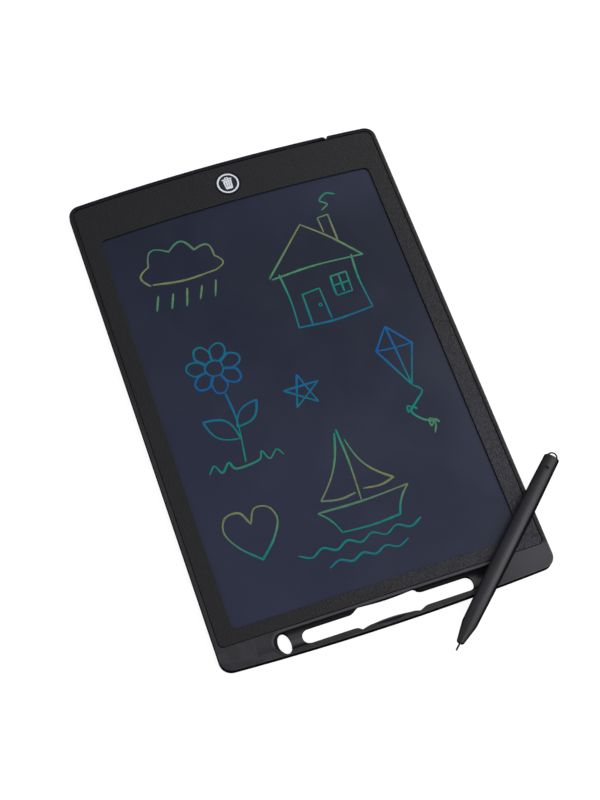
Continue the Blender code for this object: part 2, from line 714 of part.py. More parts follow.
def build_components(dark, metal, ceramic):
    """Driver chip, inductor, capacitors and diode on the board."""
    chip = seated_box("driver_chip", CHIP_SIZE, (CHIP_PLACE[0], KEY_Y + CHIP_PLACE[1]), PART_SEAT_Z)
    inductor = cylinder("boost_inductor", INDUCTOR_DIAMETER,
                        (INDUCTOR_PLACE[0], KEY_Y + INDUCTOR_PLACE[1]), PART_SEAT_Z,
                        PART_SEAT_Z + INDUCTOR_HEIGHT, steps=SMALL_ROUND_STEPS)
    diode = seated_box("rectifier_diode", DIODE_SIZE, (DIODE_PLACE[0], KEY_Y + DIODE_PLACE[1]),
                       PART_SEAT_Z)
    pieces = [(chip, dark), (inductor, metal), (diode, dark)]
    for number, place in enumerate(CAPACITOR_PLACES, 1):
        pieces.append((seated_box(f"storage_capacitor_{number}", CAPACITOR_SIZE,
                                  (place[0], KEY_Y + place[1]), PART_SEAT_Z), ceramic))
    for piece, material in pieces:
        round_edges(piece, COMPONENT_ROUND, 1)
        finish(piece, material)


def build_tails(material):
    """Two conductor tabs that bend down from the film to the board."""
    start_y = FILM_TOP_Y + RUNNING_GAP
    middle_z = (FILM_LOW_Z + FILM_TOP_Z) / 2
    seat_z = PART_SEAT_Z + TAIL_THICKNESS / 2
    path = [(start_y, middle_z), (start_y + TAIL_BEND, middle_z),
            (start_y + 2 * TAIL_BEND, seat_z), (start_y + TAIL_REACH, seat_z)]
    for name, side in (("lcd_tail_left", -1), ("lcd_tail_right", 1)):
        tail = bent_strip(name, path, TAIL_THICKNESS, TAIL_WIDTH,
                          (side * TAIL_SPACING / 2 + TAIL_SHIFT, 0, 0),
                          Euler((math.pi / 2, 0, math.pi / 2)))
        finish(tail, material)


def build_tray(material, axis):
    """Drawer for the coin cell: front block flush with the rim, open floor, two side rails."""
    half = TRAY_WIDTH / 2
    front_y = tray_front_y() - CELL_Y
    tray = box("battery_tray", (-half, TRAY_INNER_Y - CELL_Y, TRAY_LOW_Z),
               (half, front_y + RIM_WIDTH / 2, TRAY_TOP_Z), axis)
    pocket_low, tool_top = TRAY_LOW_Z + TRAY_FLOOR, TRAY_TOP_Z + CUT_OVERRUN
    pocket_diameter = CELL_DIAMETER + 2 * RUNNING_GAP
    cut(tray,
        cylinder("cell_pocket_cutter", pocket_diameter, (0, 0), pocket_low, tool_top, axis),
        box("tray_slot_cutter",
            (-TRAY_SLOT_WIDTH / 2, TRAY_INNER_Y - CELL_Y - CUT_OVERRUN, TRAY_LOW_Z - CUT_OVERRUN),
            (TRAY_SLOT_WIDTH / 2, TRAY_SLOT_WIDTH / 2, tool_top), axis))
    front = plate("tray_front", [body_outline()], 0.0, BODY_THICKNESS, BODY_EDGE_ROUND,
                  BODY_EDGE_STEPS)
    boolean(front, box("tray_front_limit", *tray_bay(0.0, TRAY_LOW_Z, tray_front_y())), "INTERSECT")
    cut(front, cylinder("front_pocket_cutter", pocket_diameter, (0, 0), pocket_low, TRAY_TOP_Z,
                        axis))
    unite(tray, as_mesh(front))
    return finish(tray, material)


def build_cell(material, axis):
    """Coin cell that lies in the tray."""
    cell = cylinder("coin_cell", CELL_DIAMETER, (0, 0), CELL_LOW_Z, CELL_LOW_Z + CELL_THICKNESS,
                    axis)
    round_edges(cell, CELL_EDGE_ROUND, 1)
    return finish(cell, material)


def build_contacts(material):
    """Sheet contacts that reach from the board over and under the cell."""
    foot_x = BOARD_RIGHT_LENGTH - CONTACT_FOOT
    post_x = BOARD_RIGHT_LENGTH - CONTACT_THICKNESS
    seat_z = PART_SEAT_Z + CONTACT_THICKNESS / 2
    over_z = TRAY_TOP_Z + RUNNING_GAP + CONTACT_THICKNESS / 2
    positive = [(foot_x, seat_z), (post_x, seat_z), (post_x + CONTACT_THICKNESS, over_z),
                (post_x + CONTACT_REACH, over_z)]
    under_board_z = BOARD_HEIGHT - SHEET_GAP - CONTACT_THICKNESS / 2
    under_tray_z = COVER_THICKNESS + SHEET_GAP + CONTACT_THICKNESS / 2
    tongue_z = CELL_LOW_Z - SHEET_GAP - CONTACT_THICKNESS / 2
    rise_x = TRAY_CENTRE_X - TRAY_SLOT_WIDTH / 2 + 2 * RUNNING_GAP
    negative = [(foot_x - NEGATIVE_RAMP, under_board_z), (post_x - NEGATIVE_RAMP, under_board_z),
                (post_x, under_tray_z), (rise_x, under_tray_z),
                (rise_x + NEGATIVE_RAMP, tongue_z),
                (rise_x + NEGATIVE_RAMP + NEGATIVE_TONGUE, tongue_z)]
    for name, path, side in (("battery_contact_positive", positive, 1),
                             ("battery_contact_negative", negative, -1)):
        contact = bent_strip(name, path, CONTACT_THICKNESS, CONTACT_WIDTH,
                             (0, CELL_Y + side * CONTACT_SPREAD, 0), Euler((math.pi / 2, 0, 0)))
        finish(contact, material)


def build_lock(slider_material, pin_material, switch_material):
    """Erase lock: slider on the rear, the pin that it carries and the switch on the board."""
    rest_x = LOCK_CENTRE_X - LOCK_TRAVEL / 2
    axis = add_empty("lock_slider_axis", (rest_x, KEY_Y, 0))
    flange_low = COVER_THICKNESS + SHEET_GAP
    flange_top = flange_low + LOCK_FLANGE_THICKNESS
    slider = seated_box("lock_slider", (LOCK_KNOB_LENGTH, LOCK_KNOB_WIDTH,
                                        flange_top - LOCK_RECESS), (0, 0), LOCK_RECESS, axis)
    grip_pitch = LOCK_KNOB_LENGTH / (LOCK_GRIP_COUNT + 1)
    for number in range(LOCK_GRIP_COUNT):
        x = grip_pitch * (number + 1) - LOCK_KNOB_LENGTH / 2
        cut(slider, seated_box(f"grip_cutter_{number}",
                               (LOCK_GRIP_WIDTH, LOCK_KNOB_WIDTH + CUT_OVERRUN,
                                CUT_OVERRUN + LOCK_GRIP_DEPTH), (x, 0),
                               LOCK_RECESS - CUT_OVERRUN, axis))
    flange_length = LOCK_KNOB_LENGTH + 2 * LOCK_TRAVEL + 2 * LOCK_FLANGE_MARGIN
    unite(slider, seated_box("lock_flange", (flange_length,
                                             LOCK_KNOB_WIDTH + 2 * LOCK_FLANGE_MARGIN,
                                             LOCK_FLANGE_THICKNESS), (0, 0), flange_low, axis))
    fork_x = LOCK_PIN_LENGTH / 2 + SHEET_GAP + LOCK_FORK_WIDTH / 2
    for number, x in enumerate((-fork_x, fork_x)):
        unite(slider, seated_box(f"lock_fork_{number}",
                                 (LOCK_FORK_WIDTH, LOCK_PIN_WIDTH,
                                  LOCK_FORK_HEIGHT + LOCK_FLANGE_THICKNESS), (x, 0),
                                 flange_low, axis))
    finish(slider, slider_material)
    pin_low = flange_top + SHEET_GAP
    finish(seated_box("lock_switch_pin", (LOCK_PIN_LENGTH, LOCK_PIN_WIDTH, LOCK_PIN_HEIGHT), (0, 0),
                      pin_low, axis), pin_material)
    body = seated_box("lock_switch_body",
                      (LOCK_SWITCH_LENGTH, LOCK_SWITCH_WIDTH, LOCK_SWITCH_HEIGHT),
                      (LOCK_CENTRE_X, KEY_Y), PART_SEAT_Z)
    slot_size = (LOCK_PIN_LENGTH + LOCK_TRAVEL + 2 * RUNNING_GAP, LOCK_PIN_WIDTH + 2 * RUNNING_GAP,
                 LOCK_SWITCH_HEIGHT - LOCK_SWITCH_ROOF + CUT_OVERRUN)
    cut(body, seated_box("lock_switch_slot_cutter", slot_size, (LOCK_CENTRE_X, KEY_Y),
                         PART_SEAT_Z - CUT_OVERRUN))
    finish(body, switch_material)


def pen_half_width(along):
    """Half width of the barrel at a distance from the end of its nose, past the nose."""
    share = (along - PEN_NOSE_LENGTH) / (PEN_LENGTH - PEN_NOSE_LENGTH)
    ends = PEN_SHOULDER_WIDTH + (PEN_TAIL_WIDTH - PEN_SHOULDER_WIDTH) * share
    middle = (PEN_SHOULDER_WIDTH + PEN_TAIL_WIDTH) / 2
    return (ends + (PEN_WIDTH - middle) * 4 * share * (1 - share)) / 2


def pen_profile(inset, start, end):
    """Turned profile of the barrel, at a distance inside its skin, from its tail to its nose."""
    profile = [(0.0, end)]
    first = max(start, PEN_NOSE_LENGTH)
    for step in range(PEN_BODY_STEPS + 1):
        along = end + (first - end) * step / PEN_BODY_STEPS
        profile.append((pen_half_width(along) - inset, along))
    return profile


def flatten(thing):
    """Lay a turned piece along the stylus and give it its oval section."""
    thing.data.transform(Matrix.Diagonal((PEN_HEIGHT / PEN_WIDTH, 1.0, 1.0, 1.0)))
    thing.data.transform(Matrix.Rotation(math.pi / 2, 4, "Y"))
    return thing


def build_stylus(barrel_material, tip_material):
    """Stylus: hollow oval barrel, writing pin and tail plug with its loop."""
    height = BODY_THICKNESS + RUNNING_GAP + PEN_HEIGHT / 2
    axis = add_empty("stylus_axis", (PEN_X, PEN_Y, height), PEN_TURN)
    body_end = PEN_LENGTH - PLUG_CAP - SHEET_GAP
    nose = [(PEN_NOSE_WIDTH / 2, PEN_NOSE_ROUND), (PEN_NOSE_WIDTH / 2 - PEN_NOSE_ROUND, 0.0),
            (0.0, 0.0)]
    barrel = turned("stylus_barrel", pen_profile(0.0, 0.0, body_end) + nose, PEN_ROUND_STEPS, axis)
    flatten(barrel)
    bore_start = PEN_NOSE_LENGTH + PEN_WALL
    bore_profile = pen_profile(PEN_WALL, bore_start, body_end + CUT_OVERRUN)
    bore = turned("stylus_bore_cutter", bore_profile + [(0.0, bore_start)], PEN_ROUND_STEPS, axis)
    shank_end = TIP_SHANK_START + TIP_SHANK_LENGTH
    hole = tip_profile(RUNNING_GAP / 2, -CUT_OVERRUN, shank_end + RUNNING_GAP)
    hole_tool = turned("tip_hole_cutter", hole, SMALL_ROUND_STEPS, axis)
    hole_tool.rotation_euler = Euler((0, math.pi / 2, 0))
    dimple = cylinder("dimple_cutter", DIMPLE_DIAMETER, (PEN_LENGTH - DIMPLE_FROM_TAIL, 0),
                      PEN_HEIGHT / 2 - DIMPLE_DEPTH - RUNNING_GAP, PEN_HEIGHT / 2 + CUT_OVERRUN,
                      axis, SMALL_ROUND_STEPS)
    cut(barrel, flatten(bore), hole_tool, dimple)
    finish(barrel, barrel_material)
    tip = turned("stylus_tip", tip_profile(0.0, -TIP_OUT, shank_end), SMALL_ROUND_STEPS, axis)
    tip.rotation_euler = Euler((0, math.pi / 2, 0))
    finish(tip, tip_material)
    build_plug(barrel_material, axis)


def tip_profile(gap, start, end):
    """Turned profile of the writing pin with its thicker shank, from the shank to the point."""
    shank, pin = TIP_SHANK_DIAMETER / 2 + gap, TIP_DIAMETER / 2 + gap
    turns = [math.pi / 2 * step / TIP_ROUND_STEPS for step in range(TIP_ROUND_STEPS)]
    point = [(pin * math.cos(turn), start + pin * (1 - math.sin(turn))) for turn in turns]
    return [(0.0, end), (shank, end), (shank, TIP_SHANK_START - gap),
            (pin, TIP_SHANK_START - gap), *point, (0.0, start)]


def build_plug(material, axis):
    """Tail plug: cap that closes the barrel, stem inside it and the loop for a string."""
    cap_start = PEN_LENGTH - PLUG_CAP
    half = pen_half_width(PEN_LENGTH)
    rounding = [(half - PLUG_CAP_ROUND * (1 - math.sin(turn)),
                 PEN_LENGTH - PLUG_CAP_ROUND * (1 - math.cos(turn)))
                for turn in (math.pi / 2 * step / PLUG_ROUND_STEPS
                             for step in range(PLUG_ROUND_STEPS + 1))]
    cap_profile = [(0.0, PEN_LENGTH), *rounding, (half, cap_start), (0.0, cap_start)]
    plug = flatten(turned("stylus_tail_plug", cap_profile, PEN_ROUND_STEPS, axis))
    stem_start = cap_start - PLUG_STEM
    stem_profile = pen_profile(PEN_WALL + RUNNING_GAP, stem_start, cap_start + PLUG_CAP / 2)
    stem = flatten(turned("plug_stem", stem_profile + [(0.0, stem_start)], PEN_ROUND_STEPS, axis))
    unite(plug, stem, build_loop(axis))
    finish(plug, material)


def build_loop(axis):
    """Half ring that stands out of the tail, as a bent wire sunk into the cap."""
    curve = bpy.data.curves.new("plug_loop", "CURVE")
    curve.dimensions = "3D"
    curve.bevel_depth = LOOP_THICKNESS / 2
    curve.bevel_resolution = 2
    curve.use_fill_caps = True
    spline = curve.splines.new("POLY")
    spline.points.add(LOOP_STEPS + 2)
    half, reach = (LOOP_WIDTH - LOOP_THICKNESS) / 2, LOOP_REACH - LOOP_THICKNESS / 2
    places = [(PEN_LENGTH - PLUG_CAP / 2, -half)]
    for step in range(LOOP_STEPS + 1):
        turn = math.pi * (step / LOOP_STEPS - 0.5)
        places.append((PEN_LENGTH + reach * math.cos(turn), half * math.sin(turn)))
    places.append((PEN_LENGTH - PLUG_CAP / 2, half))
    for point, place in zip(spline.points, places):
        point.co = (*place, 0, 1)
    return as_mesh(add_object("plug_loop", curve, parent=axis))


def build_all():
    """Model every piece of the tablet and its stylus."""
    smooth_dark = make_material("smooth_dark_plastic", (0.018, 0.019, 0.023), 0.38)
    grained_dark = make_material("grained_dark_plastic", (0.023, 0.023, 0.024), 0.62)
    rear_dark = make_material("rear_dark_plastic", (0.02, 0.02, 0.022), 0.55)
    film = make_material("slate_writing_film", (0.018, 0.025, 0.042), 0.3)
    backing = make_material("black_backing_sheet", (0.008, 0.008, 0.01), 0.7)
    support = make_material("grey_support_board", (0.22, 0.22, 0.21), 0.75)
    key = make_material("gloss_black_key", (0.01, 0.013, 0.018), 0.25)
    pen = make_material("satin_dark_plastic", (0.024, 0.024, 0.026), 0.42)
    tip = make_material("black_pin", (0.02, 0.02, 0.022), 0.5)
    board = make_material("green_board", (0.02, 0.14, 0.06), 0.45)
    chip = make_material("black_epoxy", (0.015, 0.015, 0.016), 0.5)
    ceramic = make_material("tan_ceramic", (0.42, 0.3, 0.18), 0.5)
    steel = make_material("nickel_steel", (0.62, 0.61, 0.58), 0.28, 1.0)
    ferrite = make_material("grey_ferrite", (0.09, 0.09, 0.1), 0.6)
    copper = make_material("copper_foil", (0.72, 0.42, 0.25), 0.35, 1.0)
    white = make_material("white_plastic", (0.72, 0.72, 0.7), 0.5)

    build_outer_frame(smooth_dark)
    build_back_cover(rear_dark)
    build_front_panel(grained_dark)
    build_screen(film, backing, support)
    build_key(key, white)
    build_switch(chip)
    build_board(board)
    build_components(chip, ferrite, ceramic)
    build_tails(copper)
    tray_axis = add_empty("battery_tray_axis", (TRAY_CENTRE_X, CELL_Y, 0))
    build_tray(smooth_dark, tray_axis)
    build_cell(steel, tray_axis)
    build_contacts(steel)
    build_lock(rear_dark, white, chip)
    build_stylus(pen, tip)


clear_scene()
parts = make_collection(COLLECTION_NAME)
cutters = make_collection("cutters")
build_all()
bpy.context.view_layer.update()
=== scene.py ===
"""Looks of the LCD writing tablet: materials, key sign, line drawing and small details.

Everything is in metres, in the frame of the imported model. The drawing on the screen is a generic
one of this script's own: a house, a cloud, a flower, a star, a kite, a boat and a heart.
"""
import math

import bmesh
import bpy
from mathutils import Euler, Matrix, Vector


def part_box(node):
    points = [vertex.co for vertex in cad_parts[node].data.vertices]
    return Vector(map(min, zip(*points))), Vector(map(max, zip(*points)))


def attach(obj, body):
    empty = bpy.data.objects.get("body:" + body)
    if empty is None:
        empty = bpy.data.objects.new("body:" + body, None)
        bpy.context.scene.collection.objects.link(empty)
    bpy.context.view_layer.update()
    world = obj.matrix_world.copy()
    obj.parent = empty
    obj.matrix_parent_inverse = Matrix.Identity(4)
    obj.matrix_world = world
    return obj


# Camera, fitted to the photograph
CAMERA_PLACE = (-0.16564, -0.33653, 0.8483)
CAMERA_TURN = (23.1069, -2.9565, -19.3229)
CAMERA_LENS = 75.2175
SENSOR_WIDTH = 36.0
NEAREST = 0.01

# Studio: lights with their name, place, size and power
LIGHTS = (("key_light", (1.25, -0.9, 1.75), 2.2, 27.0), ("back_light", (1.6, 0.9, 1.6), 1.2, 20.0),
          ("fill_light", (-1.4, 0.9, 1.2), 1.2, 4.5))
FLOOR_RADIUS = 6.0
FLOOR_SIDES = 64
FLOOR_Z = -0.00002
FLOOR_TONES = (0.3, 0.32)
FLOOR_GLOW = 0.9
GROUND_Z = -0.00006
GROUND_TONES = (0.01, 0.014)
STUDIO_ROUGHNESS = 0.9
STUDIO_SPECULAR = 0.1
STUDIO_MOTTLE = 0.6
SKY_STRENGTH = 0.2

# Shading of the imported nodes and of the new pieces
WELD_DISTANCE = 0.0000005
SMOOTH_ANGLE = math.radians(38)
PIECE_ANGLE = math.radians(40)
FLAT_ANGLE = math.radians(0.3)
NORMAL_WEIGHT = 100

# Sign on the erase key, whose points are in sign units
RING_RADIUS = 0.0064
RING_WIDTH = 0.00095
RING_SLOPE = 0.15
RING_STEPS = 96
INK_HEIGHT = 0.00004
SIGN_UNIT = 0.00093
BIN_BODY = [(-2.75, 2.2), (-2.3, -3.3), (-2.05, -3.85), (-1.5, -4.05), (1.5, -4.05),
            (2.05, -3.85), (2.3, -3.3), (2.75, 2.2)]
BIN_SLOTS = ((-1.35, 0.12), (0.0, 0.0), (1.35, -0.12))
BIN_SLOT_HALF_WIDTH = 0.15
BIN_SLOT_Y = (-2.7, 1.3)
BIN_LID = [(-3.2, 2.55), (3.2, 2.55), (3.15, 3.3), (1.35, 3.45), (1.1, 4.15), (0.75, 4.4),
           (-0.75, 4.4), (-1.1, 4.15), (-1.35, 3.45), (-3.15, 3.3)]
BIN_HANDLE = [(-0.75, 3.45), (0.75, 3.45), (0.6, 3.85), (-0.6, 3.85)]

# Drawing on the screen, whose points are in drawing units
DRAWING_UNIT = 0.001
STROKE_WIDTH = 0.00105
STROKE_LIFT = 0.00001
STROKE_CROWN = 0.00005
STROKE_STEP = 0.0007
STROKE_TAPER = 0.003
STROKE_SECTION = ((1, 0), (0.62, 0.8), (0, 1), (-0.62, 0.8), (-1, 0))
PRESS_WAVES = ((0.2, 110), (0.06, 700))
PRESS_SHIFT = 40
STROKE_END = 0.5
CIRCLE_WOBBLE = (0.06, 0.05)
LINE_BOTTOM_Y = -0.11
LINE_HEIGHT = 0.23
LINE_DRIFT = 0.02
LINE_COLOURS = ((0.0, (4, 96, 176)), (0.07, (4, 128, 138)), (0.15, (10, 140, 122)),
                (0.23, (132, 138, 92)), (0.3, (96, 150, 100)), (0.37, (8, 142, 122)),
                (0.45, (5, 126, 138)), (0.56, (5, 96, 174)), (0.66, (4, 118, 148)),
                (0.74, (8, 142, 124)), (0.82, (92, 152, 104)), (0.9, (140, 142, 94)),
                (1.0, (30, 142, 114)))

# Lip around the pen trough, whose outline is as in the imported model
TROUGH_MIDDLE_Y = -0.1368
TROUGH_RUN = 0.0583
TROUGH_HALF_WIDTH = 0.0053
LIP_MARGIN = 0.00006
LIP_WIDTH = 0.0012
LIP_CROWN = 0.000045
LIP_SUNK = 0.000003
LIP_ENDS = ((-1, math.radians(238)), (1, math.radians(-45)))
LIP_FADE = 0.006
LIP_STEP = 0.0005
LIP_COLUMNS = 8

# Far and near edge of the finger cut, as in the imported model
FINGER_HALF_LENGTH = 0.0153
FINGER_FAR_Y = -0.1311
FINGER_BULGE = 0.0009
FINGER_END_SLOPE = 0.477
NEAR_ARC_MIDDLE = -0.0009
NEAR_ARC_HALF_LENGTH = 0.0162
NEAR_ARC_TOP_Y = -0.1413
NEAR_ARC_BULGE = 0.0022

# Tones of the smooth moulding, most of them painted light and shade: a pair is where a tone starts
# and where it is full, and of four places the first two are its start and the last two its end
TOP_SAG = 0.0034
FAR_RIM_DEPTH = (0.0034, 0.0029)
FAR_RIM_STREAK = (0.0003, 0.0007, 0.0009, 0.0013)
FAR_RIM_INSIDE = (0.0013, 0.0018)
FAR_RIM_WEIGHT = 0.95
LEFT_RIM_X = (-0.088, -0.0905)
LEFT_RIM_TOP_Y = (-0.06, 0.11)
LEFT_RIM_LOW_Y = (0.09, -0.05)
RIGHT_RIM_X = (0.0895, 0.0902, 0.0923, 0.0929)
SIDE_Z = (0.0048, 0.0038)
SIDE_LENGTH_Y = (0.0, 0.12)
BOTTOM_SIDE_Y = (-0.1425, -0.1435)
BAND_Y = (-0.1275, -0.1305)
BAND_RIGHT_X = (0.03, 0.085)
BAND_NEAR_Y = (-0.1455, -0.141)
BAND_UPPER_Y = (-0.141, -0.134)
BAND_BESIDE_X = (0.06, 0.066)
BAND_LEFT_X = (-0.078, -0.084)
FACE_Z = (0.00545, 0.00549)
INSIDE_Z = (0.0054, 0.0051)
LIP_TONE = (0.0, 0.0004, 0.001, 0.0015)
LIP_TONE_Y = (-0.139, -0.1365)
FLOOR_Z_TONE = (0.0038, 0.0028)
FLOOR_TONE_Y = (-0.1402, -0.139)
FLOOR_LEFT_X = (-0.04, -0.05)
SLOT_WALL_Z = (0.0022, 0.0016)
UPPER_WALL_Y = (-0.1358, -0.1342)
LOWER_WALL_Y = (-0.1398, -0.141)
TROUGH_END_X = (-0.0588, -0.0605)
SHADOW_Y = (-0.137, -0.1354)
PEN_SHADOW_X = (0.042, 0.052)
HOLE_SHADOW_X = (-0.044, -0.048)
SCOOP_RIM = (-0.0001, 0.0001, 0.0004, 0.0008)
SCOOP_Z = (0.0008, 0.0016)
SCOOP_X = (0.019, 0.0165)
SMOOTH_CLOUD = 0.012
SMOOTH_GRAIN = 0.00035

# Tones of the grained panel and of the writing film, among them painted light and shade
PANEL_GRAIN = 0.0006
PANEL_DEPTH = 0.00023
PANEL_ROUGHNESS = 0.52
PANEL_SLANT = 0.5
PANEL_CALM = (-0.02, 0.08)
PANEL_PAINTED_LIGHT = (0.01, 0.26)
PANEL_PAINTED_LIGHT_TONES = ((0.56, 0.55, 0.58), (3.5, 3.4, 3.95))
PANEL_COARSE = (-0.02, 0.09)
PANEL_EDGE_X = (0.0899, 0.0902)
FILM_LOW_Y = (0.06, -0.07)
FILM_SLANT = 2.6
FILM_HIGH_Y = (0.075, 0.11)
FILM_HIGH_X = (-0.06, 0.06)
FILM_SMEAR = 0.05

# Rear cover and its padlock signs, beside the middle of the lock's switch
REAR_GRAIN = 0.0003
REAR_DEPTH = 0.00003
REAR_ROUGHNESS = 0.55
REAR_FACE_Z = (0.0002, 0.0001)
LOCK_SIGN_OFFSET = 0.0089
PADLOCK_BODY = (0.0026, 0.0018)
PADLOCK_BODY_DROP = 0.0003
SHACKLE_RADII = (0.0007, 0.001)
SHACKLE_ASIDE = 0.0016
SHACKLE_RISE = 0.0006
SHACKLE_FOOT = (0.00045, 0.00055)

# Board: tracks, and pads with the part they belong to, their offset from it and their size
TRACK_SPACING = 0.0034
TRACK_EDGE = (0.08, 0.04)
VIA_EDGE = (0.11, 0.08)
BOARD_FACE = (-0.0002, -0.0001)
BOARD_PADS = (("driver_chip", (0, 0.00275), (0.0043, 0.0007)),
              ("driver_chip", (0, -0.00275), (0.0043, 0.0007)),
              ("storage_capacitor_1", (0, 0), (0.003, 0.0014)),
              ("storage_capacitor_2", (0, 0), (0.003, 0.0014)),
              ("rectifier_diode", (0, 0), (0.0034, 0.0016)),
              ("boost_inductor", (0, 0), (0.0052, 0.0016)),
              ("tact_switch_body", (0, 0.0013), (0.0054, 0.0007)),
              ("tact_switch_body", (0, -0.0013), (0.0054, 0.0007)),
              ("lock_switch_body", (0, 0.003), (0.0074, 0.0008)),
              ("battery_contact_positive", (-0.0057, 0), (0.0034, 0.0044)))
CHIP_LEG_COUNT = 4
CHIP_LEG_SPACING = 0.00115
CHIP_LEG_WIDTH = 0.0004
CHIP_LEG_THICKNESS = 0.00012
CHIP_LEG_RISE = 0.0005
CHIP_LEG_STEP = 0.00025
CHIP_LEG_REACH = 0.0009
CAPACITOR_HALF_BODY = 0.0006
DIODE_HALF_BODY = 0.00105
DIODE_BAND = (-0.0007, -0.0004)
CAP_SOFTNESS = 0.00004
FRAME_SIZE = (0.0038, 0.0038)
FRAME_OPENING = (0.00125, 0.00135)
FRAME_Z = (0.0031, 0.0033)
RIVET_OFFSET = 0.00155
RIVET_EDGE = (0.00026, 0.0002)
FLEX_PITCH = 0.0007
FLEX_TRACK = (-0.3, 0.2)

# Coin cell: crimp groove, and plus sign beside its middle
GROOVE_RADII = (0.0086, 0.0089)
GROOVE_SOFTNESS = 0.00008
PLUS_OFFSET = (0.0031, -0.0047)
PLUS_SIZE = (0.0042, 0.0007)
BRUSHED = (1.0, 12.0, 1.0)

# Stylus: its axis, and tones, mostly painted shade and sheen, by the distance along it from the nose
# and across it
PEN_TURN = math.radians(43.13)
PEN_AXIS_Z = 0.0095
PEN_REACH = 0.02
PEN_NOSE = (0.02716, -0.16745)
PEN_NOSE_END = (0.03, 0.012)
PEN_TAIL_END = (0.098, 0.11)
PEN_END_ACROSS = (0.001, -0.0015)
PEN_LEFT = (0.0016, 0.0032)
SHEEN_ACROSS = (-0.0032, -0.0019, -0.0016, -0.0004)
SHEEN_START = (0.02, 0.045)
SHEEN_END = (0.09, 0.062)
LOW_FLANK = (0.0022, 0.0008)
RIGHT_FLANK = (-0.0028, -0.0037)
LOOP_EDGE = (0.11755, 0.11785)
DIMPLE_ALONG = 0.1091
DIMPLE_EDGE = (0.00165, 0.0011)
DIMPLE_RISE = 0.001
RIB_START = 0.1038
RIB_SPACING = 0.0014
RIB_COUNT = 4
RIB_WIDTH = 0.0007
RIB_HEIGHT = 0.00004
RIB_SPAN = (math.radians(14), math.radians(78))
RIB_STEPS = 18
RIB_SECTION = ((-0.5, 0), (-0.25, 0.8), (0, 1), (0.25, 0.8), (0.5, 0))
RIB_SUNK = 0.00001
RIB_TONE_ALONG = (0.1026, 0.1034, 0.1084, 0.1092)
RIB_TONE_ACROSS = (0.0002, 0.0014, 0.0036, 0.0042)
RIB_WAVE = (-0.6, 0.8)

# Range of a noise from its darker to its lighter patches, softness of a mask's edges in metres,
# and roughness of every clear coat
MIDDLE = (0.3, 0.7)
SOFT_EDGE = 0.00003
COAT_ROUGHNESS = 0.1

# Plain materials: name, dark and light tone, grain, roughness, other settings and their nodes
PLAIN_MATERIALS = (
    ("black_epoxy", (26, 26, 27), (40, 40, 41), 0.0003, 0.5, {},
     ("driver_chip", "lock_switch_body")),
    ("white_plastic", (222, 222, 218), (236, 236, 233), 0.0006, 0.4, {},
     ("tact_switch_plunger", "lock_switch_pin")),
    ("nickel_steel", (176, 175, 170), (208, 207, 202), 0.0012, 0.27,
     {"metallic": 1.0, "depth": 0.000003, "stretch": BRUSHED},
     ("battery_contact_positive", "battery_contact_negative")),
    ("black_backing_sheet", (14, 14, 15), (24, 24, 26), 0.0008, 0.7, {}, ("lcd_backing",)),
    ("grey_support_board", (118, 116, 110), (140, 138, 132), 0.0007, 0.75, {"depth": 0.00002},
     ("support_plate",)),
    ("grey_ferrite", (70, 70, 72), (96, 96, 98), 0.0003, 0.55, {}, ("boost_inductor",)),
    ("black_pin", (7, 7, 7), (13, 13, 12), 0.0004, 0.55, {}, ("stylus_tip",)))


def linear(red, green, blue):
    """Linear colour from the screen values 0 to 255."""
    return tuple((value / 255 / 12.92) if value / 255 <= 0.04045
                 else ((value / 255 + 0.055) / 1.055) ** 2.4 for value in (red, green, blue))


def middle_of(name):
    """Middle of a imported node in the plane."""
    low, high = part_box(name)
    return Vector(((low.x + high.x) / 2, (low.y + high.y) / 2))


class Value:
    """A number or colour in a material; what is done with it adds nodes there."""

    def __init__(self, paint, socket):
        self.paint = paint
        self.socket = socket

    def __add__(self, other):
        return self.paint.work("ADD", self, other)

    def __sub__(self, other):
        return self.paint.work("SUBTRACT", self, other)

    def __rsub__(self, other):
        return self.paint.work("SUBTRACT", other, self)

    def __mul__(self, other):
        return self.paint.work("MULTIPLY", self, other)

    def __truediv__(self, other):
        return self.paint.work("DIVIDE", self, other)

    def __or__(self, other):
        return self.paint.work("MAXIMUM", self, other)

    def __abs__(self):
        return self.paint.work("ABSOLUTE", self)

    def ramp(self, ends, first=0.0, last=1.0):
        """This number taken from one range to another, smooth at both ends."""
        inputs = [("Value", self), ("From Min", ends[0]), ("From Max", ends[1]),
                  ("To Min", first), ("To Max", last)]
        made = self.paint.node("MapRange", inputs, interpolation_type="SMOOTHSTEP")
        return Value(self.paint, made.outputs["Result"])

    def plateau(self, ends):
        """Mask that rises over the first two of four places and falls over the last two."""
        rise, top, drop, end = ends
        return self.ramp((rise, top)) * self.ramp((end, drop))

    def between(self, low, high, soft=SOFT_EDGE):
        """Mask between two limits."""
        return self.plateau((low - soft, low + soft, high - soft, high + soft))


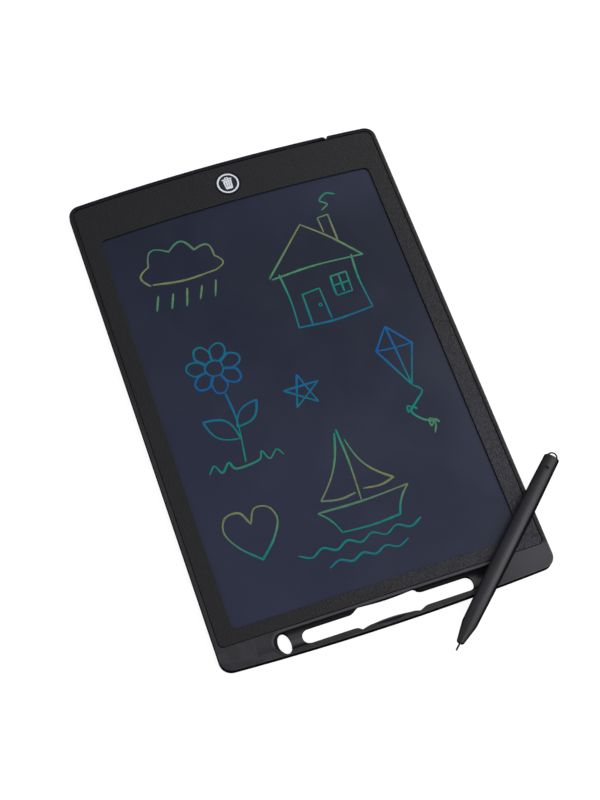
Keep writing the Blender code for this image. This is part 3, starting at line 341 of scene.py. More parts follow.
class Paint:
    """A procedural material, with its shader and the surface point in metres."""

    def __init__(self, name, roughness, metallic=0.0, specular=0.5, coat=0.0):
        self.material = bpy.data.materials.new(name)
        self.material.use_nodes = True
        self.tree = self.material.node_tree
        self.shader = self.tree.nodes["Principled BSDF"]
        for socket, value in (("Roughness", roughness), ("Metallic", metallic),
                              ("Specular IOR Level", specular), ("Coat Weight", coat),
                              ("Coat Roughness", COAT_ROUGHNESS)):
            self.feed(socket, value)
        self.point = Value(self, self.node("TexCoord").outputs["Object"])
        axes = self.node("SeparateXYZ", [("Vector", self.point)]).outputs
        self.x, self.y, self.z = (Value(self, axes[axis]) for axis in "XYZ")

    def put(self, socket, value):
        """Link a value to a socket, or set the socket to a constant."""
        if isinstance(value, Value):
            self.tree.links.new(value.socket, socket)
        else:
            socket.default_value = (*value, 1.0) if socket.type == "RGBA" else value

    def feed(self, name, value):
        """Link or set one of the shader's sockets."""
        self.put(self.shader.inputs[name], value)

    def node(self, kind, inputs=(), **settings):
        """Shader node; inputs pairs a socket's name or number with what goes into it."""
        made = self.tree.nodes.new("ShaderNode" + kind)
        for key, setting in settings.items():
            setattr(made, key, setting)
        for key, value in inputs:
            self.put(made.inputs[key], value)
        return made

    def work(self, operation, first, second=0.0):
        """Sum, product or other operation on two numbers."""
        made = self.node("Math", [(0, first), (1, second)], operation=operation)
        return Value(self, made.outputs[0])

    def length(self, first, second):
        """Length of two lengths at a right angle."""
        return self.work("SQRT", first * first + second * second)

    def wave(self, value, spacing):
        """Sine whose waves have a given length."""
        return self.work("SINE", value * (math.tau / spacing))

    def mix(self, factor, first, second, how="MIX"):
        """Mix of two linear colours."""
        made = self.node("Mix", [("Factor", factor), (6, first), (7, second)], data_type="RGBA",
                         blend_type=how)
        return Value(self, made.outputs[2])

    def layers(self, colour, *tones):
        """A colour under further ones, each with its mask, its weight and its screen values."""
        for mask, weight, tone in tones:
            colour = self.mix(mask * weight, colour, linear(*tone))
        return colour

    def tones(self, value, dark, light, ends=MIDDLE):
        """Tone between two, which are screen values, by a noise."""
        return self.mix(value.ramp(ends), linear(*dark), linear(*light))

    def noise(self, size, detail=3.0, roughness=0.5, distortion=0.0, point=None):
        """Noise whose patches have about a given size in metres."""
        inputs = [("Vector", point or self.point), ("Scale", 1 / size), ("Detail", detail),
                  ("Roughness", roughness), ("Distortion", distortion)]
        return Value(self, self.node("TexNoise", inputs).outputs["Fac"])

    def cells(self, size, feature, distance="EUCLIDEAN"):
        """Distance in cells of about a given size in metres."""
        made = self.node("TexVoronoi", [("Vector", self.point), ("Scale", 1 / size)],
                         distance=distance, feature=feature)
        return Value(self, made.outputs["Distance"])

    def stretched(self, scale):
        """The surface point, scaled along the axes."""
        made = self.node("Mapping", [("Vector", self.point), ("Scale", scale)])
        return Value(self, made.outputs["Vector"])

    def patch(self, middle, size):
        """Mask of an upright rectangle of the plane."""
        across, along = (value.between(centre - extent / 2, centre + extent / 2)
                         for value, centre, extent in zip((self.x, self.y), middle, size))
        return across * along

    def reach(self, middle):
        """Distance in the plane from a point."""
        return self.length(self.x - middle[0], self.y - middle[1])

    def relief(self, height, depth, strength=1.0, below=None):
        """Bump of a given depth in metres on the shader, over an earlier one."""
        inputs = [("Height", height), ("Distance", depth), ("Strength", strength)]
        if below is not None:
            inputs.append(("Normal", below))
        normal = Value(self, self.node("Bump", inputs).outputs["Normal"])
        self.feed("Normal", normal)
        return normal


def either(masks):
    """Greatest of several masks."""
    whole = masks[0]
    for mask in masks[1:]:
        whole = whole | mask
    return whole


def rim_tones(paint):
    """Rim's colour with painted shade and light: dark blue with a painted highlight streak along the
    top edge, and that edge's mask.
    """
    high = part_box("outer_frame")[1]
    share = paint.x / high.x
    depth = high.y - share * share * TOP_SAG - paint.y
    left = paint.x.ramp(LEFT_RIM_X)
    rim = paint.mix(paint.noise(0.0009, 2.0), linear(38, 37, 41), linear(48, 47, 52))
    # Painted shade darkens the left rim towards the top, and painted light lightens it lower down.
    rim = paint.layers(rim, (left * paint.y.ramp(LEFT_RIM_TOP_Y, 0.4), 1.0, (26, 26, 30)),
                       (left * paint.y.ramp(LEFT_RIM_LOW_Y), 0.35, (60, 60, 64)))
    # The top edge is painted dark blue as shade, with a painted highlight streak along it.
    far = paint.layers(linear(15, 18, 28), (depth.plateau(FAR_RIM_STREAK), 0.8, (44, 50, 64)),
                       (depth.ramp(FAR_RIM_INSIDE), 1.0, (37, 37, 42)))
    far_share = depth.ramp(FAR_RIM_DEPTH)
    return paint.mix(far_share * FAR_RIM_WEIGHT, rim, far), far_share


def band_tones(paint, cloud):
    """Bottom band: cloudy mottling as painted soft reflections, and painted light to the right,
    beside the ends of the pen trough and at the far left.
    """
    x, y = paint.x, paint.y
    right = x.ramp(BAND_RIGHT_X) * y.ramp(BAND_NEAR_Y, 0.35, 0.6)
    beside = y.ramp(BAND_UPPER_Y) * abs(x).ramp(BAND_BESIDE_X, 0.0, 0.22)
    # Mottled tones are painted reflections; the lighter layers are painted light.
    return paint.layers(paint.tones(cloud, (37, 36, 41), (59, 58, 64), (0.4, 0.62)),
                        (right, 1.0, (72, 71, 77)),
                        (beside | x.ramp(BAND_LEFT_X, 0.0, 0.14), 1.0, (78, 77, 83)))


def trough_distance(paint):
    """Distance outside the pen trough's edge, and below zero inside it."""
    beyond = abs(paint.x) - TROUGH_RUN | 0.0
    return paint.length(beyond, paint.y - TROUGH_MIDDLE_Y) - TROUGH_HALF_WIDTH


def finger_distance(paint):
    """Distance from the finger cut's near edge towards the tablet's bottom edge."""
    share = (paint.x - NEAR_ARC_MIDDLE) / NEAR_ARC_HALF_LENGTH
    return NEAR_ARC_TOP_Y - share * share * NEAR_ARC_BULGE - paint.y


def dip_tones(paint, colour):
    """Painted light and shade of the lip, the pen trough and the scoop beside the finger cut."""
    x, y, z = paint.x, paint.y, paint.z
    inside = z.ramp(INSIDE_Z)
    # Painted highlight along the lip.
    lip = trough_distance(paint).plateau(LIP_TONE) * z.ramp(FACE_Z) * y.ramp(LIP_TONE_Y)
    # Painted light on the trough's floor.
    floor = paint.mix(x.ramp(FLOOR_LEFT_X), linear(76, 75, 80), linear(70, 69, 74))
    # Painted shadows of the pen and the oval hole, and painted shade on the trough's walls and left
    # end.
    shadow = y.ramp(SHADOW_Y) * (x.ramp(PEN_SHADOW_X) | x.ramp(HOLE_SHADOW_X))
    shaded = y.ramp(UPPER_WALL_Y) | shadow | y.ramp(LOWER_WALL_Y) | x.ramp(TROUGH_END_X)
    scoop = inside * z.ramp(SCOOP_Z) * abs(x).ramp(SCOOP_X)
    colour = paint.layers(colour, (lip, 0.75, (78, 77, 83)))
    colour = paint.mix(z.ramp(FLOOR_Z_TONE) * y.ramp(FLOOR_TONE_Y), colour, floor)
    # Painted shade on the shaded walls and the slot's wall, and a painted highlight on the scoop's
    # near rim.
    return paint.layers(colour, (shaded * inside | z.ramp(SLOT_WALL_Z), 0.85, (20, 19, 24)),
                        (finger_distance(paint).plateau(SCOOP_RIM) * scoop, 0.9, (96, 95, 101)))


def smooth_plastic():
    """Smooth moulding: bottom band painted greyer, with cloudy mottling, as soft reflections, and
    outer sides painted near-black as shade.
    """
    paint = Paint("smooth_dark_plastic", 0.3)
    x, y = paint.x, paint.y
    cloud = paint.noise(SMOOTH_CLOUD, 3.0, 0.55, 0.7)
    band = y.ramp(BAND_Y)
    rim, far_share = rim_tones(paint)
    # The bottom band is painted lighter than the rim, as reflected light.
    colour = dip_tones(paint, paint.mix(band, rim, band_tones(paint, cloud)))
    # Painted shade in the groove beside the right rim.
    colour = paint.layers(colour, (x.plateau(RIGHT_RIM_X) * (1.0 - band), 0.85, (12, 12, 14)))
    # Painted shade on the outer side walls, bluish towards the top edge.
    side = paint.z.ramp(SIDE_Z) * (y.ramp(BOTTOM_SIDE_Y) | 1.0 - band)
    wall = paint.mix(y.ramp(SIDE_LENGTH_Y), linear(15, 14, 16), linear(15, 17, 28))
    paint.feed("Base Color", paint.mix(side * 0.9, colour, wall))
    paint.feed("Specular IOR Level", far_share.ramp((0.0, 1.0), 0.42, 0.12))
    paint.feed("Roughness", cloud.ramp((0.3, 0.75), 0.4, 0.27))
    rough = paint.relief(paint.noise(SMOOTH_GRAIN, 2.0), 0.000004, 0.5)
    paint.relief(cloud, 0.00006, 0.35, rough)
    return paint.material


def grain_of(paint, grain):
    """Height, tone and speckle of a fine leather-like grain."""
    speckle = paint.noise(grain * 1.6, 4.0, 0.65)
    tone = speckle * 0.8 + paint.noise(0.03, 2.0) * 0.2
    return paint.cells(grain, "SMOOTH_F1") * -0.8 + speckle, tone, speckle


def panel_plastic():
    """Grained front panel, coarser to the lower right, with painted light that makes it lighter
    there and painted shade at its right edge.
    """
    paint = Paint("grained_dark_plastic", PANEL_ROUGHNESS, specular=0.4)
    height, tone, speckle = grain_of(paint, PANEL_GRAIN)
    away = paint.x - paint.y * PANEL_SLANT
    calm = away.ramp(PANEL_CALM, 0.3, 0.0)
    colour = paint.mix(tone.ramp((0.32, 0.68), calm, 1.0 - calm), linear(10, 9, 13),
                       linear(39, 37, 44))
    # Painted light: the panel grows lighter towards the lower right.
    painted_light = paint.mix(away.ramp(PANEL_PAINTED_LIGHT), *PANEL_PAINTED_LIGHT_TONES)
    colour = paint.mix(1.0, colour, painted_light, "MULTIPLY")
    # Painted shade at the panel's right edge, by the groove.
    colour = paint.layers(colour, (paint.x.ramp(PANEL_EDGE_X), 0.5, (12, 12, 14)))
    paint.feed("Base Color", colour)
    paint.feed("Roughness", speckle.ramp(MIDDLE, PANEL_ROUGHNESS + 0.1, PANEL_ROUGHNESS - 0.1))
    paint.relief(height, PANEL_DEPTH, away.ramp(PANEL_COARSE, 0.45))
    return paint.material


def padlock(paint, middle, aside):
    """Padlock sign: a body and a shackle, which stands aside when it is open."""
    x, y = middle
    body = paint.patch((x, y - PADLOCK_BODY_DROP), PADLOCK_BODY)
    shackle = paint.reach((x + aside, y + SHACKLE_RISE)).between(*SHACKLE_RADII)
    return body | shackle * (paint.y - y).ramp(SHACKLE_FOOT)


def rear_plastic():
    """Finely grained rear cover with an open and a closed padlock beside the lock."""
    paint = Paint("rear_dark_plastic", REAR_ROUGHNESS, specular=0.4)
    height, tone, speckle = grain_of(paint, REAR_GRAIN)
    middle = middle_of("lock_switch_body")
    offset = Vector((LOCK_SIGN_OFFSET, 0))
    signs = padlock(paint, middle - offset, SHACKLE_ASIDE) | padlock(paint, middle + offset, 0.0)
    colour = paint.tones(tone, (30, 30, 32), (46, 46, 48), (0.32, 0.68))
    paint.feed("Base Color", paint.layers(colour, (signs * paint.z.ramp(REAR_FACE_Z), 0.8,
                                                   (128, 128, 130))))
    paint.feed("Roughness", speckle.ramp(MIDDLE, REAR_ROUGHNESS + 0.1, REAR_ROUGHNESS - 0.1))
    paint.relief(height, REAR_DEPTH, 0.9)
    return paint.material


def writing_film():
    """Slate-blue film with a painted sheen that makes it lighter to the bottom left and the top
    right, and faint smears.
    """
    paint = Paint("slate_writing_film", 0.3, specular=0.35)
    smear = paint.noise(FILM_SMEAR, 4.0, 0.6, 0.8)
    # Painted sheen: lighter to the bottom left and the top right.
    low = paint.y.ramp(FILM_LOW_Y, 0.18, 0.83) - paint.x * FILM_SLANT
    high = paint.y.ramp(FILM_HIGH_Y) * paint.x.ramp(FILM_HIGH_X, -0.2, 0.65)
    shade = low + high + smear.ramp(MIDDLE, -0.06, 0.06)
    paint.feed("Base Color", paint.mix(shade, linear(32, 38, 56), linear(46, 51, 73)))
    paint.feed("Roughness", smear.ramp((0.3, 0.75), 0.27, 0.36))
    paint.relief(paint.noise(0.0003, 2.0), 0.000002, 0.3)
    return paint.material


def key_plastic():
    """Gloss black key with a few fine specks."""
    paint = Paint("gloss_black_key", 0.18)
    fine = paint.noise(0.0006)
    paint.feed("Base Color", paint.mix(fine, linear(34, 36, 50), linear(42, 44, 59)))
    paint.feed("Roughness", fine.ramp(MIDDLE, 0.16, 0.26))
    paint.relief(fine, 0.000003, 0.4)
    return paint.material


def sign_ink():
    """Pale, slightly bluish ink with uneven cover."""
    paint = Paint("pale_sign_ink", 0.45, specular=0.4)
    fine = paint.noise(0.0004)
    paint.feed("Base Color", paint.mix(fine, linear(232, 242, 250), linear(250, 253, 255)))
    paint.relief(fine, 0.000006, 0.5)
    return paint.material


def pen_plastic():
    """Satin dark moulding of the stylus: painted shade on its ends, left side, flanks, ribs and
    dimple, a painted sheen, and a black loop.
    """
    paint = Paint("satin_dark_plastic", 0.36)
    aside, ahead = paint.x - PEN_NOSE[0], paint.y - PEN_NOSE[1]
    along = aside * math.cos(PEN_TURN) + ahead * math.sin(PEN_TURN)
    across = ahead * math.cos(PEN_TURN) - aside * math.sin(PEN_TURN)
    height = paint.z - PEN_AXIS_Z
    fine = paint.noise(0.0005, 3.0, 0.6)
    # Painted shade darkens both ends and the left side.
    ends = (along.ramp(PEN_NOSE_END) | along.ramp(PEN_TAIL_END)) * across.ramp(
        PEN_END_ACROSS, 0.4, 0.75)
    # Painted sheen along the right of the middle.
    sheen = across.plateau(SHEEN_ACROSS) * along.ramp(SHEEN_START) * along.ramp(SHEEN_END, 0.25)
    # Painted shade between the grip ribs.
    ribs = along.plateau(RIB_TONE_ALONG) * across.plateau(RIB_TONE_ACROSS) * paint.wave(
        along - (RIB_START + RIB_SPACING / 4), RIB_SPACING).ramp(RIB_WAVE)
    # Painted shade in the dimple.
    dimple_shade = paint.length(along - DIMPLE_ALONG, across).ramp(DIMPLE_EDGE) * height.ramp(
        (0.0, DIMPLE_RISE))
    # Painted shade on the underside and the right flank.
    flank = height.ramp(LOW_FLANK, 0.0, 0.4) | across.ramp(RIGHT_FLANK, 0.0, 0.9)
    loop = along.ramp(LOOP_EDGE)
    colour = paint.tones(fine * 0.6 + paint.noise(0.012) * 0.4, (32, 30, 36), (47, 45, 53))
    paint.feed("Base Color", paint.layers(
        colour, (ends | across.ramp(PEN_LEFT, 0.0, 0.35), 1.0, (20, 19, 23)),
        (sheen, 0.45, (84, 83, 90)), (ribs, 0.85, (12, 11, 15)), (dimple_shade, 0.8, (12, 11, 16)),
        (flank, 1.0, (13, 13, 16)), (loop, 1.0, (9, 9, 6))))
    paint.feed("Specular IOR Level", (flank | loop).ramp((0.0, 1.0), 0.5, 0.12))
    paint.feed("Roughness", fine.ramp(MIDDLE, 0.38, 0.52))
    paint.relief(fine, 0.000016, 0.7)
    return paint.material


def drawn_line():
    """Line drawing whose colour runs through green, olive, teal and blue along the screen."""
    paint = Paint("drawn_line", 0.4, specular=0.15)
    along = paint.y + paint.noise(0.03, 2.0) * LINE_DRIFT
    ramp = paint.node("ValToRGB", [("Fac", (along - LINE_BOTTOM_Y) / LINE_HEIGHT)])
    elements = ramp.color_ramp.elements
    while len(elements) > 1:
        elements.remove(elements[-1])
    for number, (position, tone) in enumerate(LINE_COLOURS):
        element = elements.new(position) if number else elements[0]
        element.position, element.color = position, (*linear(*tone), 1.0)
    worn = paint.noise(0.004, 3.0, 0.6).ramp(MIDDLE)
    paint.feed("Base Color", paint.layers(Value(paint, ramp.outputs["Color"]),
                                          (worn, 0.22, (30, 56, 66))))
    return paint.material


def plain_detail(name, dark, light, size, roughness, metallic=0.0, depth=0.000004, stretch=None):
    """Small inner piece: two close tones, uneven gloss and a fine relief."""
    paint = Paint(name, roughness, metallic)
    point = paint.stretched(stretch) if stretch else None
    fine = paint.noise(size, 4.0, 0.6, point=point)
    paint.feed("Base Color", paint.tones(fine, dark, light))
    paint.feed("Roughness", fine.ramp(MIDDLE, roughness - 0.07, roughness + 0.07))
    paint.relief(fine, depth, 0.6)
    return paint.material


def circuit_mask():
    """Green solder mask over copper tracks, with tinned vias and pads."""
    paint = Paint("green_board", 0.35)
    near, far = (paint.cells(TRACK_SPACING, feature, "CHEBYCHEV") for feature in ("F1", "F2"))
    tracks = (far - near).ramp(TRACK_EDGE)
    pads = [paint.patch(middle_of(part) + Vector(offset), size)
            for part, offset, size in BOARD_PADS]
    face = (paint.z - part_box("circuit_board")[1].z).ramp(BOARD_FACE)
    tin = either([near.ramp(VIA_EDGE), *pads]) * face
    base = paint.mix(paint.noise(0.0006), linear(14, 84, 48), linear(20, 98, 56))
    paint.feed("Base Color", paint.layers(base, (tracks, 1.0, (34, 122, 72)),
                                          (tin, 1.0, (176, 170, 150))))
    paint.feed("Metallic", tin)
    paint.relief(tracks + tin, 0.00003, 0.6)
    return paint.material


def capped_part(name, dark, light, parts, half, band=None):
    """Small board part with tinned ends, and perhaps a printed band."""
    paint = Paint(name, 0.45)
    middles = [middle_of(part).x for part in parts]
    fine = paint.noise(0.0003, 4.0, 0.6)
    ends = 1.0 - either([paint.x.between(middle - half, middle + half, CAP_SOFTNESS)
                         for middle in middles])
    colour = paint.tones(fine, dark, light)
    if band:
        low, high = (middles[0] + side for side in band)
        colour = paint.layers(colour, (paint.x.between(low, high), 1.0, (206, 206, 204)))
    paint.feed("Base Color", paint.layers(colour, (ends, 1.0, (190, 189, 184))))
    paint.feed("Metallic", ends)
    paint.relief(fine + ends * 2.0, 0.00001, 0.6)
    return paint.material


def switch_housing():
    """Dark switch body under a steel frame with a round opening and four rivets."""
    paint = Paint("switch_housing", 0.4)
    middle = middle_of("tact_switch_body")
    steel = paint.patch(middle, FRAME_SIZE) * paint.reach(middle).ramp(FRAME_OPENING)
    steel = steel * paint.z.ramp(FRAME_Z)
    rivets = either([paint.reach(middle + Vector(turn) * RIVET_OFFSET).ramp(RIVET_EDGE)
                     for turn in ((-1, -1), (-1, 1), (1, -1), (1, 1))])
    body = paint.tones(paint.noise(0.0003, 4.0, 0.6), (26, 26, 27), (38, 38, 39))
    cover = paint.mix(rivets, linear(186, 186, 182), linear(28, 28, 29))
    paint.feed("Base Color", paint.mix(steel, body, cover))
    paint.feed("Metallic", steel * (1.0 - rivets))
    paint.relief(steel - rivets, 0.00003, 0.7)
    return paint.material


def cell_steel():
    """Brushed steel of the coin cell, with its crimp groove and plus sign."""
    paint = Paint("cell_steel", 0.27, metallic=1.0)
    middle = middle_of("coin_cell")
    plus = middle + Vector(PLUS_OFFSET)
    fine = paint.noise(0.0012, 4.0, 0.6, point=paint.stretched(BRUSHED))
    mark = either([paint.reach(middle).between(*GROOVE_RADII, GROOVE_SOFTNESS),
                   paint.patch(plus, PLUS_SIZE), paint.patch(plus, PLUS_SIZE[::-1])])
    colour = paint.tones(fine, (176, 175, 170), (208, 207, 202))
    paint.feed("Base Color", paint.layers(colour, (mark, 0.7, (96, 95, 92))))
    paint.feed("Roughness", fine.ramp(MIDDLE, 0.2, 0.34))
    paint.relief(1.0 - mark, 0.00006, 0.8, paint.relief(fine, 0.000003, 0.6))
    return paint.material


def flex_foil():
    """Amber flexible tail over parallel copper tracks."""
    paint = Paint("flex_foil", 0.3, specular=0.6, coat=0.4)
    tracks = paint.wave(paint.x, FLEX_PITCH).ramp(FLEX_TRACK)
    film = paint.mix(paint.noise(0.001), linear(120, 62, 22), linear(138, 74, 28))
    paint.feed("Base Color", paint.layers(film, (tracks, 1.0, (206, 142, 88))))
    paint.feed("Metallic", tracks * 0.8)
    paint.relief(tracks, 0.00002, 0.6)
    return paint.material


def smoothing_group():
    """Geometry nodes that weld a mesh's corners and shade its shallow edges smooth."""
    group = bpy.data.node_groups.new("smooth_by_angle", "GeometryNodeTree")
    for direction in ("INPUT", "OUTPUT"):
        group.interface.new_socket("Geometry", in_out=direction, socket_type="NodeSocketGeometry")
    source, plain, weld, faces, edges, angle, shallow, result = (
        group.nodes.new(kind) for kind in (
            "NodeGroupInput", "GeometryNodeRemoveAttribute", "GeometryNodeMergeByDistance",
            "GeometryNodeSetShadeSmooth", "GeometryNodeSetShadeSmooth",
            "GeometryNodeInputMeshEdgeAngle", "FunctionNodeCompare", "NodeGroupOutput"))
    plain.inputs["Name"].default_value = "custom_normal"
    weld.inputs["Distance"].default_value = WELD_DISTANCE
    edges.domain = "EDGE"
    shallow.operation = "LESS_THAN"
    shallow.inputs["B"].default_value = SMOOTH_ANGLE
    for first, second in ((source.outputs[0], plain.inputs["Geometry"]),
                          (plain.outputs["Geometry"], weld.inputs["Geometry"]),
                          (weld.outputs["Geometry"], faces.inputs["Geometry"]),
                          (faces.outputs["Geometry"], edges.inputs["Geometry"]),
                          (angle.outputs["Unsigned Angle"], shallow.inputs["A"]),
                          (shallow.outputs["Result"], edges.inputs["Shade Smooth"]),
                          (edges.outputs["Geometry"], result.inputs[0])):
        group.links.new(first, second)
    return group


def soften(thing, group):
    """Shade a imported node's round faces smooth and its flat faces flat, by modifiers alone."""
    thing.modifiers.new("smooth", "NODES").node_group = group
    flat = thing.modifiers.new("flat_faces", "DECIMATE")
    flat.decimate_type = "DISSOLVE"
    flat.angle_limit = FLAT_ANGLE
    weighted = thing.modifiers.new("weighted", "WEIGHTED_NORMAL")
    weighted.keep_sharp = True
    weighted.weight = NORMAL_WEIGHT


def dress_nodes(nodes):
    """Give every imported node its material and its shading."""
    capacitors = ("storage_capacitor_1", "storage_capacitor_2")
    table = [
        (smooth_plastic(), ("outer_frame", "battery_tray")), (panel_plastic(), ("front_panel",)),
        (rear_plastic(), ("back_cover", "lock_slider")), (writing_film(), ("lcd_film",)),
        (key_plastic(), ("erase_key",)), (switch_housing(), ("tact_switch_body",)),
        (cell_steel(), ("coin_cell",)), (circuit_mask(), ("circuit_board",)),
        (capped_part("tan_ceramic", (150, 124, 92), (176, 150, 118), capacitors,
                     CAPACITOR_HALF_BODY), capacitors),
        (capped_part("diode_epoxy", (26, 26, 27), (38, 38, 39), ("rectifier_diode",),
                     DIODE_HALF_BODY, DIODE_BAND), ("rectifier_diode",)),
        (flex_foil(), ("lcd_tail_left", "lcd_tail_right")),
        (pen_plastic(), ("stylus_barrel", "stylus_tail_plug"))]
    for name, dark, light, size, roughness, others, names in PLAIN_MATERIALS:
        table.append((plain_detail(name, dark, light, size, roughness, **others), names))
    group = smoothing_group()
    for material, names in table:
        for name in names:
            soften(nodes[name], group)
            for slot in nodes[name].material_slots:
                slot.material = material


def place_in_scene(name, data):
    """New object of the scene, at the origin."""
    thing = bpy.data.objects.new(name, data)
    bpy.context.scene.collection.objects.link(thing)
    return thing


def mesh_from(name, work, material):
    """Mesh of a bmesh, which is used up, in one material."""
    mesh = bpy.data.meshes.new(name)
    work.to_mesh(mesh)
    work.free()
    mesh.materials.append(material)
    return mesh


def mesh_piece(name, work, material, body, smooth=True):
    """Finish a bmesh as a piece that rides on a body."""
    bmesh.ops.recalc_face_normals(work, faces=work.faces)
    mesh = mesh_from(name, work, material)
    if smooth:
        mesh.shade_smooth()
        mesh.set_sharp_from_angle(angle=PIECE_ANGLE)
    thing = place_in_scene(name, mesh)
    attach(thing, body)


def join_rows(work, rows, closed=False):
    """Faces between rows of points; closed rows run round."""
    for row, ahead in zip(rows, rows[1:]):
        for number in range(len(row) if closed else len(row) - 1):
            other = (number + 1) % len(row)
            work.faces.new((row[number], ahead[number], ahead[other], row[other]))


def make_chip_legs(material):
    """Bent legs along two sides of the driver chip, standing on their pads."""
    low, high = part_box("driver_chip")
    half = (high.y - low.y) / 2
    foot = Vector((*middle_of("driver_chip"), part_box("circuit_board")[1].z + STROKE_LIFT))
    section = [(half, CHIP_LEG_RISE), (half + CHIP_LEG_STEP, CHIP_LEG_RISE),
               (half + 2 * CHIP_LEG_STEP, 0.0), (half + CHIP_LEG_REACH, 0.0)]
    work = bmesh.new()
    for side in (-1, 1):
        for number in range(CHIP_LEG_COUNT):
            x = (number - (CHIP_LEG_COUNT - 1) / 2) * CHIP_LEG_SPACING
            rings = [[work.verts.new(foot + Vector((
                x + edge * CHIP_LEG_WIDTH / 2, side * out, up + rise * CHIP_LEG_THICKNESS)))
                for edge, rise in ((-1, 0), (1, 0), (1, 1), (-1, 1))] for out, up in section]
            join_rows(work, rings, closed=True)
            work.faces.new(rings[0])
            work.faces.new(rings[-1])
    mesh_piece("chip_legs", work, material, "tablet", smooth=False)


def key_middle():
    """Middle of the key's top face."""
    return Vector((*middle_of("erase_key"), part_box("erase_key")[1].z))


def finger_edge(x):
    """Far edge of the finger cut at a distance from the middle."""
    beyond = max(0.0, abs(x) - FINGER_HALF_LENGTH) * FINGER_END_SLOPE
    inside = max(0.0, 1 - (x / FINGER_HALF_LENGTH) ** 2)
    return FINGER_FAR_Y - FINGER_BULGE * inside - beyond


def lip_rows():
    """Inner and outer point of each row of the lip, from its left end to its right end."""
    inner = TROUGH_HALF_WIDTH + LIP_MARGIN
    outer = inner + LIP_WIDTH
    turn_steps = int(math.pi / 2 * outer / LIP_STEP)
    run_steps = int(2 * TROUGH_RUN / LIP_STEP)
    left, right = ([[Vector((side * TROUGH_RUN + radius * math.cos(turn),
                             TROUGH_MIDDLE_Y + radius * math.sin(turn)))
                     for radius in (inner, outer)]
                    for turn in (end + (math.pi / 2 - end) * step / turn_steps
                                 for step in range(turn_steps))]
                   for side, end in LIP_ENDS)
    straight = []
    for step in range(run_steps + 1):
        x = TROUGH_RUN * (2 * step / run_steps - 1)
        near = max(TROUGH_MIDDLE_Y + inner, finger_edge(x) + LIP_MARGIN)
        straight.append([Vector((x, near)), Vector((x, TROUGH_MIDDLE_Y + outer))])
    return left + straight + right[::-1]


def make_lip(material):
    """Low rounded lip on the band, along the pen trough and round its ends."""
    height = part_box("outer_frame")[1].z - LIP_SUNK
    places = lip_rows()
    gone = [0.0]
    for (near, _), (ahead, _) in zip(places, places[1:]):
        gone.append(gone[-1] + (ahead - near).length)
    work = bmesh.new()
    rows = []
    for (near, far), along in zip(places, gone):
        share = min(1.0, along / LIP_FADE, (gone[-1] - along) / LIP_FADE)
        crown = LIP_CROWN * share * share * (3 - 2 * share)
        sides = (number / LIP_COLUMNS for number in range(LIP_COLUMNS + 1))
        rows.append([work.verts.new((*near.lerp(far, side),
                                     height + crown * 4 * side * (1 - side))) for side in sides])
    join_rows(work, rows)
    mesh_piece("band_lip", work, material, "tablet")


def on_barrel(barrel, middle, out):
    """Point of the barrel's outer surface in a direction from its axis."""
    back = barrel.matrix_world.inverted()
    hit, spot, _, _ = barrel.ray_cast(back @ (middle + out * PEN_REACH), back.to_3x3() @ -out)
    return barrel.matrix_world @ spot if hit else middle


def make_pen_ribs(material):
    """Faint grip ribs on the flank of the stylus, laid on the barrel's own surface."""
    barrel = bpy.data.objects["stylus_barrel"]
    along = Vector((math.cos(PEN_TURN), math.sin(PEN_TURN), 0))
    across = Vector((-along.y, along.x, 0))
    up = Vector((0, 0, 1))
    work = bmesh.new()
    for number in range(RIB_COUNT):
        middle = Vector((*PEN_NOSE, PEN_AXIS_Z)) + along * (RIB_START + number * RIB_SPACING)
        rows = []
        for step in range(RIB_STEPS + 1):
            share = step / RIB_STEPS
            turn = RIB_SPAN[0] + (RIB_SPAN[1] - RIB_SPAN[0]) * share
            out = across * math.cos(turn) + up * math.sin(turn)
            swell = math.sin(math.pi * share)
            rows.append([work.verts.new(
                on_barrel(barrel, middle + along * RIB_WIDTH * shift * swell, out)
                + out * (RIB_HEIGHT * rise * swell - RIB_SUNK)) for shift, rise in RIB_SECTION])
        join_rows(work, rows)
    mesh_piece("pen_ribs", work, material, "stylus")


def make_ring(material):
    """Pale ring on the erase key, a little crowned."""
    middle = key_middle()
    work = bmesh.new()
    profile = [(RING_RADIUS - RING_WIDTH * share, height) for share, height in
               ((0, 0.0), (RING_SLOPE, INK_HEIGHT), (1 - RING_SLOPE, INK_HEIGHT), (1, 0.0))]
    rows = []
    for step in range(RING_STEPS):
        turn = math.tau * step / RING_STEPS
        rows.append([work.verts.new(middle + Vector((radius * math.cos(turn),
                                                     radius * math.sin(turn), height)))
                     for radius, height in profile])
    join_rows(work, rows + rows[:1], closed=True)
    mesh_piece("key_ring", work, material, "erase_key")


def flat_piece(name, outlines, material):
    """Thin plate of ink on the key, from outlines in sign units; the inner ones are holes."""
    curve = bpy.data.curves.new(name, "CURVE")
    curve.dimensions = "2D"
    curve.fill_mode = "BOTH"
    curve.extrude = INK_HEIGHT / 2
    for outline in outlines:
        spline = curve.splines.new("POLY")
        spline.points.add(len(outline) - 1)
        for spot, (x, y) in zip(spline.points, outline):
            spot.co = (x * SIGN_UNIT, y * SIGN_UNIT, 0, 1)
        spline.use_cyclic_u = True
    holder = place_in_scene(name + "_outline", curve)
    bpy.context.view_layer.update()
    mesh = bpy.data.meshes.new_from_object(
        holder.evaluated_get(bpy.context.evaluated_depsgraph_get()))
    bpy.data.objects.remove(holder)
    work = bmesh.new()
    work.from_mesh(mesh)
    bmesh.ops.remove_doubles(work, verts=work.verts, dist=WELD_DISTANCE)
    bmesh.ops.translate(work, verts=work.verts,
                        vec=key_middle() + Vector((0, 0, INK_HEIGHT / 2)))
    mesh_piece(name, work, material, "erase_key", smooth=False)


